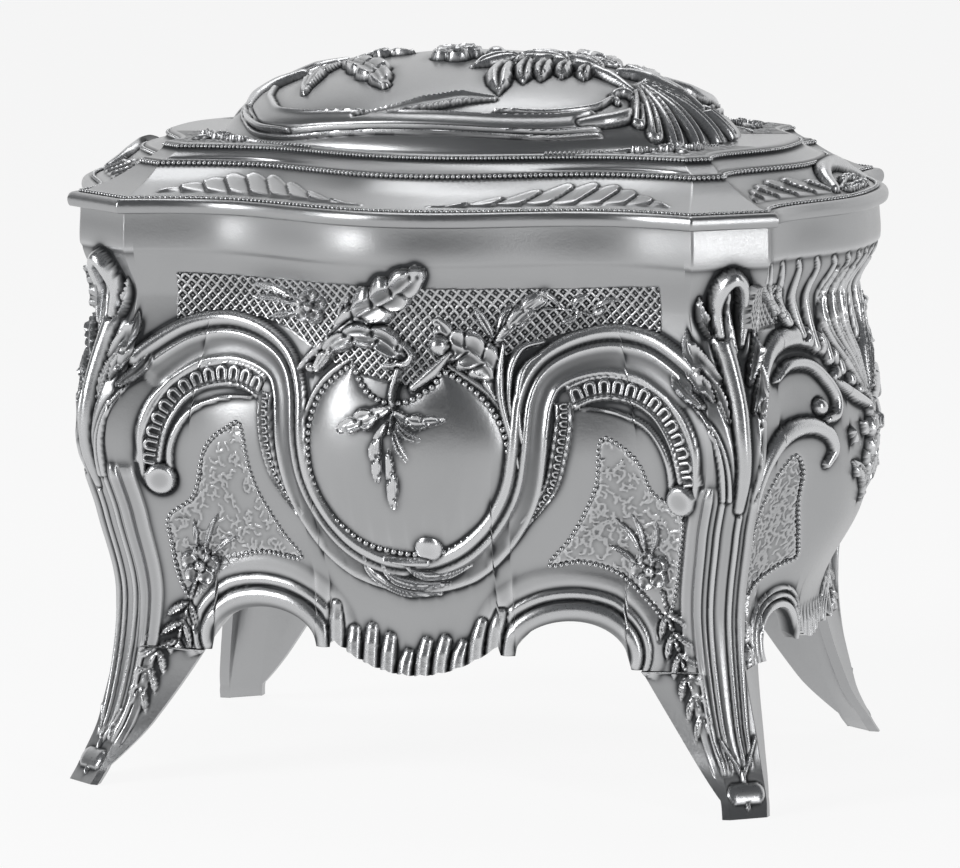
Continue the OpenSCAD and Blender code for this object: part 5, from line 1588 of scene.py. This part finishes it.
LATTICE_TABLE = [(-45.2, 86.6, 95.5), (-41.0, 87.4, 95.3), (-35.0, 88.0, 95.2), (-28.9, 88.0, 95.2),
                 (-22.5, 86.4, 95.3), (-17.0, 83.0, 95.4), (-10.0, 80.2, 95.4), (3.0, 77.6, 95.3),
                 (14.0, 80.4, 95.1), (24.0, 85.6, 95.0), (33.0, 88.0, 95.0), (42.0, 88.0, 95.5),
                 (46.5, 87.0, 95.8)]
front_plates = {
    "lattice": lattice_plate(front_surface, LATTICE_TABLE, int(600 * FINE), int(116 * FINE)),
    "left_loops": loop_plate(front_surface, SCROLL_CELLS, 1.55, 2.5, 1),
    "right_loops": loop_plate(front_surface, over(SCROLL_CELLS), 1.55, 2.5, -1),
    "left_small_loops": loop_plate(front_surface, BAND_CELLS, [0.95, 0.9, 0.75, 0.5], 1.5, 1, 0.5, 0.15),
    "right_small_loops": loop_plate(front_surface, over(BAND_CELLS), [0.95, 0.9, 0.75, 0.5], 1.5, -1, 0.5,
                                    0.15),
    "middle_leaves": leaf_plate((-23.0, 36.0), (27.0, 99.5), 0.19),
    "left_rose": leaf_plate((-48.0, 34.5), (-33.0, 52.5), 0.16),
    "right_rose": leaf_plate((34.5, 37.0), (49.5, 55.5), 0.16),
    "left_blossom": leaf_plate((-33.0, 86.5), (-13.2, 95.8), 0.16),
    "right_blossom": leaf_plate((22.0, 87.0), (40.5, 96.0), 0.16),
    "left_panel": worm_plate(front_surface, PANEL_LEFT, 520, 3),
    "right_panel": worm_plate(front_surface, PANEL_RIGHT, 520, 5),
}
end_plates = {
    "near_panel": worm_plate(end_surface, END_PANEL, 460, 7),
    "far_panel": worm_plate(end_surface, other_side(END_PANEL), 460, 9),
    "near_lattice": lattice_plate(end_surface, [(-43.4, 88.6, 95.8), (-39.8, 87.6, 95.6),
                                                (-26.4, 87.6, 94.6)],
                                  int(110 * FINE), int(52 * FINE)),
    "far_lattice": lattice_plate(end_surface, [(26.4, 87.6, 94.6), (39.8, 87.6, 95.6), (43.4, 88.6, 95.8)],
                                 int(110 * FINE), int(52 * FINE)),
}


def laid(wall, plates, turn):
    """The plates of one wall as pieces, turned half round for the opposite wall."""
    made = []
    for key, (outer, under, values) in plates.items():
        made.append(add_shell(wall + "_" + key, outer * turn, under * turn, values))
    return made




def spandrel_plate():
    """The stippled corner of the platform beside the dome, with three small flowers."""
    ring = ring_points(inset(PLATFORM, 0.9), int(420 * FINE), int(50 * FINE), int(300 * FINE))
    ring = ring[(ring[:, 0] > 24) & (ring[:, 1] < -13)]
    turn = np.arctan2(ring[:, 1] / DOME_B, ring[:, 0] / DOME_A)
    foot = np.column_stack([DOME_A * np.cos(turn), DOME_B * np.sin(turn)])
    share = np.linspace(0, 1, int(64 * FINE))[:, None, None]
    chart = ring[None] * (1 - share) + foot[None] * share
    r = Relief(chart)
    dice = np.random.default_rng(11)
    for k in range(420):
        middle = np.array([24.0, -34.0]) + np.array([28.0, 21.0]) * dice.random(2)
        w = 2 * math.pi * dice.random()
        way = 0.5 * np.array([math.cos(w), math.sin(w)])
        r.stroke([middle - way, middle + way], 0.5, 0.2, "round", smooth=False)
    for place, size in (((43.0, -26.2), 2.0), ((46.6, -22.6), 1.6), ((38.4, -29.6), 1.6)):
        flower(r, place, size, 1.3)
    for points in ([(43.6, -25.0), (45.6, -22.0), (48.0, -19.6)], [(41.4, -27.6), (38.0, -29.0),
                                                                   (34.0, -30.8)],
                   [(44.4, -27.2), (46.0, -28.4), (47.6, -29.0)]):
        leaf(r, points, 1.4, 1.0)
    rim = np.minimum(share[..., 0], 1 - share[..., 0]) * 12
    h = (0.05 + r.h.reshape(chart.shape[:2])) * np.clip(rim, 0, 1)
    return plate(lambda u, v: np.stack([u, v, np.full(u.shape, RIM_Z + PLATFORM_Z)], axis=-1), chart, h, 0.18,
                 0.35, 1.0)


spandrel = spandrel_plate()
HERE = np.array([1.0, 1.0, 1.0])
plates = laid("front", front_plates, HERE) + laid("back", front_plates, TURN)
plates += laid("right", end_plates, HERE) + laid("left", end_plates, TURN)
spandrels = []
for name, sign in (("front_right", (1, 1, 1)), ("front_left", (-1, 1, 1)), ("rear_right", (1, -1, 1)),
                   ("rear_left", (-1, -1, 1))):
    outer, under = mirrored(spandrel[0], spandrel[1], np.array(sign, float))
    values = {k: v[:, ::-1] if sign[0] * sign[1] < 0 else v for k, v in spandrel[2].items()}
    spandrels.append(add_shell("lid_" + name + "_spandrel", outer, under, values))
print("plates:", len(plates), "spandrels:", len(spandrels))

# %% [markdown]
# ## Lining and floor
#
# The inside is lined with padded velvet cards. Each is a board with a cushioned face, so its grid
# swells in the middle and turns down at the edges.

# %% Padded pieces


def pillow(name, low, high, axis, cuts=40, rim=2.0):
    """A padded board inside a box, with its swollen face towards the far side of one axis."""
    low, high = np.array(low, float), np.array(high, float)
    out = abs(axis) - 1
    flat = [k for k in range(3) if k != out]
    if axis < 0:
        flat = flat[::-1]
    if out == 1:
        flat = flat[::-1]
    size = high - low
    u, v = np.meshgrid(np.linspace(0, 1, cuts), np.linspace(0, 1, cuts))
    grids = []
    for thick in (True, False):
        p = np.zeros(u.shape + (3,))
        edge_u = np.minimum(u, 1 - u) * size[flat[0]]
        edge_v = np.minimum(v, 1 - v) * size[flat[1]]
        ku, kv = np.clip(edge_u / rim, 0, 1), np.clip(edge_v / rim, 0, 1)
        roll = np.sqrt(1 - (1 - ku) ** 2) * np.sqrt(1 - (1 - kv) ** 2)
        p[..., flat[0]] = low[flat[0]] + u * size[flat[0]]
        p[..., flat[1]] = low[flat[1]] + v * size[flat[1]]
        depth = size[out] * (0.35 + 0.65 * roll) if thick else np.zeros_like(u)
        near, far = (low[out], 1) if axis > 0 else (high[out], -1)
        p[..., out] = near + far * depth
        grids.append(p)
    return add_shell(name, grids[0], grids[1], {})


def node_mm(node):
    """A node's box in millimetres."""
    low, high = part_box(node)
    return [c / MM for c in low], [c / MM for c in high]


pads = {}
for node, axis in (("floor_pad", 3), ("front_lining", 2), ("back_lining", -2),
                   ("left_lining", 1), ("right_lining", -1)):
    low, high = node_mm(node)
    pads[node] = pillow(node + "_velvet", low, high, axis)


def board_in_lid():
    """The padded board under the lid, following the lid's outline."""
    rings = []
    for d, z in ((7.4, 2.4), (7.4, 1.6), (7.7, 1.05), (8.6, 0.8)):
        rings.append(np.column_stack([ring_points(inset(RIM, d), 90, 8, 60), np.full(332, RIM_Z + z)]))
    rings = np.stack(rings)
    points = rings.reshape(-1, 3)
    index = np.arange(len(points)).reshape(rings.shape[:2])
    faces = grid_quads(index, closed=True, flip=True)
    faces.append(tuple(index[0].tolist()))
    faces.append(tuple(index[-1][::-1].tolist()))
    return add_mesh("lid_lining_velvet", points, faces, smooth=False)


lid_board = board_in_lid()
print("padded pieces:", len(pads) + 1)

# %% [markdown]
# ## Finishes
#
# A small class lets shader numbers be written as sums. The pewter finish mixes three tones: a dark
# patina with painted shade in the hollows, the grey metal itself, and the light rubbed metal with painted
# highlights on the proud edges.

# %% Shader helpers


class Number:
    """A shader number that can be added, subtracted, multiplied and divided."""

    def __init__(self, tree, socket):
        self.tree = tree
        self.socket = socket

    def math(self, operation, a, b):
        node = self.tree.nodes.new("ShaderNodeMath")
        node.operation = operation
        for slot, value in zip(node.inputs, (a, b)):
            if isinstance(value, Number):
                self.tree.links.new(value.socket, slot)
            else:
                slot.default_value = value
        return Number(self.tree, node.outputs[0])

    def __add__(self, other):
        return self.math("ADD", self, other)

    def __radd__(self, other):
        return self.math("ADD", other, self)

    def __sub__(self, other):
        return self.math("SUBTRACT", self, other)

    def __rsub__(self, other):
        return self.math("SUBTRACT", other, self)

    def __mul__(self, other):
        return self.math("MULTIPLY", self, other)

    def __rmul__(self, other):
        return self.math("MULTIPLY", other, self)

    def __truediv__(self, other):
        return self.math("DIVIDE", self, other)

    def at_least(self, other):
        return self.math("MAXIMUM", self, other)

    def at_most(self, other):
        return self.math("MINIMUM", self, other)

    def power(self, other):
        return self.math("POWER", self, other)


class Finish:
    """A material with its tree, and one way to add any node."""

    def __init__(self, name):
        self.material = bpy.data.materials.new(name)
        self.material.use_nodes = True
        self.tree = self.material.node_tree
        self.shader = self.tree.nodes["Principled BSDF"]

    def node(self, kind, settings=None, sockets=None):
        """Adds a node, sets its settings, and fills its sockets with values or links."""
        node = self.tree.nodes.new(kind)
        for key, value in (settings or {}).items():
            setattr(node, key, value)
        for key, value in (sockets or {}).items():
            self.fill(node.inputs[key], value)
        return node

    def fill(self, slot, value):
        if isinstance(value, Number):
            self.tree.links.new(value.socket, slot)
        elif isinstance(value, bpy.types.NodeSocket):
            self.tree.links.new(value, slot)
        else:
            slot.default_value = value

    def number(self, node, output=0):
        return Number(self.tree, node.outputs[output])

    def value_of(self, name):
        """A number stored at the mesh's points."""
        node = self.node("ShaderNodeAttribute", {"attribute_name": name})
        return self.number(node, "Fac")

    def place(self):
        """The position on the piece itself."""
        return self.node("ShaderNodeTexCoord").outputs["Object"]

    def noise(self, scale, detail=3.0, rough=0.55):
        node = self.node("ShaderNodeTexNoise", {}, {
            "Vector": self.place(), "Scale": scale, "Detail": detail, "Roughness": rough,
        })
        return self.number(node, 0)

    def mix(self, share, first, second):
        """A colour between two colours."""
        node = self.node("ShaderNodeMix", {"data_type": "RGBA"})
        self.fill(node.inputs[0], share)
        self.fill(node.inputs[6], first)
        self.fill(node.inputs[7], second)
        return node.outputs[2]

    def set(self, **values):
        for key, value in values.items():
            self.fill(self.shader.inputs[key.replace("_", " ")], value)
        return self

    def bump(self, height, strength, distance):
        node = self.node("ShaderNodeBump", {}, {"Height": height, "Strength": strength, "Distance": distance})
        self.tree.links.new(node.outputs[0], self.shader.inputs["Normal"])
        return self


def pewter(name, tone=0.40, shine=0.33, stippled=True):
    """Cast metal with patina and painted shade in its hollows, and rubbed metal with painted highlights on
    its proud edges.
    """
    f = Finish(name)
    low, top = f.value_of("hollow"), f.value_of("proud")
    clouds = f.noise(55.0, 3.0)
    grain = f.noise(2600.0, 2.0)
    # painted shade: the hollow mask darkens recesses towards the dark patina colour, for patina and for the
    # shade that falls there
    patina_and_painted_shade = (low * 1.25 + (clouds - 0.5) * 0.35 * (low + 0.25)).at_most(1.0).at_least(0.0)
    # painted highlight: the proud mask lightens ridges towards light rubbed metal, for real rubbing and for
    # highlights
    rub_and_painted_highlight = (top * (0.7 + clouds * 0.5)).at_most(1.0)
    grey = (tone, tone * 1.01, tone * 1.025, 1)
    rubbed_and_highlit_grey = f.mix(rub_and_painted_highlight, grey, (0.62, 0.625, 0.635, 1))
    colour = f.mix(patina_and_painted_shade, rubbed_and_highlit_grey, (0.045, 0.047, 0.05, 1))
    rough = (shine + (grain - 0.5) * 0.18 + patina_and_painted_shade * 0.28 - rub_and_painted_highlight * 0.06).at_most(0.9).at_least(0.1)
    f.set(Base_Color=colour, Metallic=1.0 - patina_and_painted_shade * 0.35, Roughness=rough)
    height = grain * 0.5 + f.noise(700.0, 2.0) * 0.5
    if stippled:
        crackle = f.node("ShaderNodeTexVoronoi", {"feature": "DISTANCE_TO_EDGE"},
                         {"Vector": f.place(), "Scale": 900.0, "Randomness": 1.0})
        lines = (1.0 - f.number(crackle, 0) * 9.0).at_least(0.0)
        height = height + lines * f.value_of("stipple") * 5.0
    f.bump(height, 0.5, 0.00006)
    return f.material


def velvet(name):
    """Dark blue velvet with a soft nap."""
    f = Finish(name)
    nap = f.noise(900.0, 4.0, 0.7)
    shade = f.noise(60.0, 2.0)
    tone = (nap * 0.6 + shade * 0.4).at_most(1.0)
    colour = f.mix(tone, (0.008, 0.012, 0.035, 1), (0.022, 0.032, 0.09, 1))
    f.set(Base_Color=colour, Roughness=0.95, Sheen_Weight=0.6, Sheen_Roughness=0.4)
    f.shader.inputs["Sheen Tint"].default_value = (0.35, 0.45, 0.8, 1)
    f.bump(nap, 0.4, 0.0002)
    return f.material


def plain_metal(name, tone, shine):
    """Drawn or rolled metal for the hinge and the sheet floor."""
    f = Finish(name)
    grain = f.noise(1500.0, 3.0)
    smudge = f.noise(90.0, 2.0)
    share = (smudge * 0.7 + grain * 0.3).at_most(1.0)
    colour = f.mix(share, (tone * 0.7, tone * 0.7, tone * 0.71, 1), (tone * 1.1, tone * 1.1, tone * 1.12, 1))
    f.set(Base_Color=colour, Metallic=1.0, Roughness=shine + (grain - 0.5) * 0.2)
    f.bump(grain, 0.3, 0.00004)
    return f.material


cast_finish = pewter("cast pewter")
bead_finish = pewter("beaded pewter", 0.5, 0.28, False)
velvet_finish = velvet("blue velvet")
hinge_finish = plain_metal("drawn hinge metal", 0.62, 0.3)
sheet_finish = plain_metal("rolled sheet metal", 0.5, 0.4)


def paint(piece, material):
    """Gives a piece one material."""
    piece.data.materials.clear()
    piece.data.materials.append(material)
    return piece


print("finishes:", [m.name for m in bpy.data.materials])

# %% [markdown]
# ## Putting the pieces on the bodies
#
# Every drawn piece rides on the box or on the lid and stands for its construction part.

# %% Pieces and bodies


def settle(piece, body, slot, material, *nodes):
    """Paints a piece, fixes it to its body and hides the parts it stands for."""
    paint(piece, material)
    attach(piece, body)
    if nodes:
        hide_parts(*nodes)
    return piece


settle(front_wall, "box", "cast_metal", cast_finish, "front_wall")
settle(back_wall, "box", "cast_metal", cast_finish, "back_wall")
settle(right_wall, "box", "cast_metal", cast_finish, "right_wall")
settle(left_wall, "box", "cast_metal", cast_finish, "left_wall")
for name, piece in legs.items():
    settle(piece, "box", "cast_metal", cast_finish, name)
for piece in (heart_beads, panel_beads, end_rows["right"], end_rows["left"]):
    settle(piece, "box", "cast_metal", bead_finish)
for piece in plates:
    settle(piece, "box", "cast_metal", cast_finish)
for piece in spandrels:
    settle(piece, "lid", "lid_metal", cast_finish)
for piece in (rim_beads, tier_beads, foot_beads, deck_beads):
    settle(piece, "lid", "lid_metal", bead_finish)
for piece in (lid_skirt, lid_deck, lid_dome):
    settle(piece, "lid", "lid_metal", cast_finish, "lid_shell")
for node, piece in pads.items():
    settle(piece, "box", "velvet", velvet_finish, node)
settle(lid_board, "lid", "velvet", velvet_finish, "lid_lining")
for node, finish in (("hinge_body_leaf", hinge_finish), ("hinge_lid_leaf", hinge_finish),
                     ("hinge_pin", hinge_finish), ("body_rivets", hinge_finish),
                     ("lid_rivets", hinge_finish), ("base_plate", sheet_finish)):
    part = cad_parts[node]
    for i in range(max(len(part.material_slots), 1)):
        if len(part.material_slots) == 0:
            part.data.materials.append(finish)
        else:
            part.material_slots[i].material = finish

# %% [markdown]
# ## Floor, light and camera
#
# The floor is pale and the background white. Soft lamps at the left front, on the right and above
# give the long reflections of satin metal.

# %% Stage


def seen_white(f, share):
    """Lets a stage finish show white to the eye and in reflections, and keep part of its shadow."""
    path = f.node("ShaderNodeLightPath")
    straight = (f.number(path, "Is Camera Ray") + f.number(path, "Is Glossy Ray")
                + f.number(path, "Is Transmission Ray"))
    glow = f.node("ShaderNodeEmission", {}, {"Color": (1, 1, 1, 1), "Strength": 1.0})
    both = f.node("ShaderNodeMixShader")
    f.fill(both.inputs[0], straight.at_most(1.0) * share)
    f.tree.links.new(f.shader.outputs[0], both.inputs[1])
    f.tree.links.new(glow.outputs[0], both.inputs[2])
    f.tree.links.new(both.outputs[0], f.tree.nodes["Material Output"].inputs["Surface"])
    return f.material


def white_stage():
    """A wide white floor that keeps the shadow, and a white backdrop far behind it."""
    wide, far, tall = 27000.0, 9000.0, 13500.0
    ground = add_mesh("stage_floor", [(-wide, -wide, 0), (wide, -wide, 0), (wide, far, 0), (-wide, far, 0)],
                      [(0, 1, 2, 3)], smooth=False)
    ground.location.z = -0.0002
    f = Finish("white floor")
    f.set(Base_Color=(0.9, 0.9, 0.9, 1), Roughness=0.9)
    paint(ground, seen_white(f, 0.9))
    wall = add_mesh("stage_backdrop",
                    [(-wide, far, -10), (wide, far, -10), (wide, far, tall), (-wide, far, tall)],
                    [(0, 3, 2, 1)], smooth=False)
    f = Finish("white backdrop")
    f.set(Base_Color=(0.9, 0.9, 0.9, 1), Roughness=0.9)
    paint(wall, seen_white(f, 1.0))
    return ground


def grey_room():
    """A dim grey room that lights the metal, and shows white where the camera looks past the floor."""
    world = bpy.data.worlds.new("grey room")
    world.use_nodes = True
    tree = world.node_tree
    dim = tree.nodes["Background"]
    dim.inputs["Color"].default_value = (0.9, 0.93, 0.97, 1)
    dim.inputs["Strength"].default_value = 0.13
    white = tree.nodes.new("ShaderNodeBackground")
    white.inputs["Color"].default_value = (1, 1, 1, 1)
    path = tree.nodes.new("ShaderNodeLightPath")
    both = tree.nodes.new("ShaderNodeMixShader")
    tree.links.new(path.outputs["Is Camera Ray"], both.inputs[0])
    tree.links.new(dim.outputs[0], both.inputs[1])
    tree.links.new(white.outputs[0], both.inputs[2])
    tree.links.new(both.outputs[0], tree.nodes["World Output"].inputs["Surface"])
    bpy.context.scene.world = world


floor = white_stage()
grey_room()


def lamp(name, place, aim, size, power, height=None):
    """A soft rectangular lamp that looks at a point."""
    light = bpy.data.lights.new(name, "AREA")
    light.shape = "RECTANGLE"
    light.size = size
    light.size_y = height or size
    light.energy = power
    thing = bpy.data.objects.new(name, light)
    bpy.context.scene.collection.objects.link(thing)
    thing.location = place
    way = np.array(aim, float) - np.array(place, float)
    way /= np.linalg.norm(way)
    yaw = math.atan2(way[0], way[1])
    thing.rotation_euler = (math.acos(-way[2]), 0, -yaw)
    return thing


lamp("key from the left front", (-0.80, -0.80, 0.50), (0, 0, 0.06), 0.40, 8.0, 0.6)
lamp("strip from the right", (0.95, -0.55, 0.30), (0, 0, 0.06), 0.16, 3.2, 0.8)
lamp("light from above", (-0.10, 0.20, 0.85), (0, 0, 0.1), 0.5, 1.4, 0.3)

scene = bpy.context.scene
scene.view_settings.view_transform = "Standard"
camera_data = bpy.data.cameras.new("camera")
camera = bpy.data.objects.new("camera", camera_data)
scene.collection.objects.link(camera)
scene.camera = camera
AZIMUTH, ELEVATION, DISTANCE = math.radians(16.28), math.radians(7.95), 1.2972
TARGET = np.array([-0.00048, 0.0, 0.06124])
back = np.array([math.sin(AZIMUTH) * math.cos(ELEVATION), -math.cos(AZIMUTH) * math.cos(ELEVATION),
                 math.sin(ELEVATION)])
camera.location = TARGET + DISTANCE * back
camera.rotation_euler = (math.pi / 2 - ELEVATION, 0, AZIMUTH)
camera_data.sensor_width = 36
camera_data.lens = 6884.4 / 960 * 36
camera_data.clip_start = 0.05
camera_data.clip_end = 60
print("camera stands", round(DISTANCE, 3), "m away")
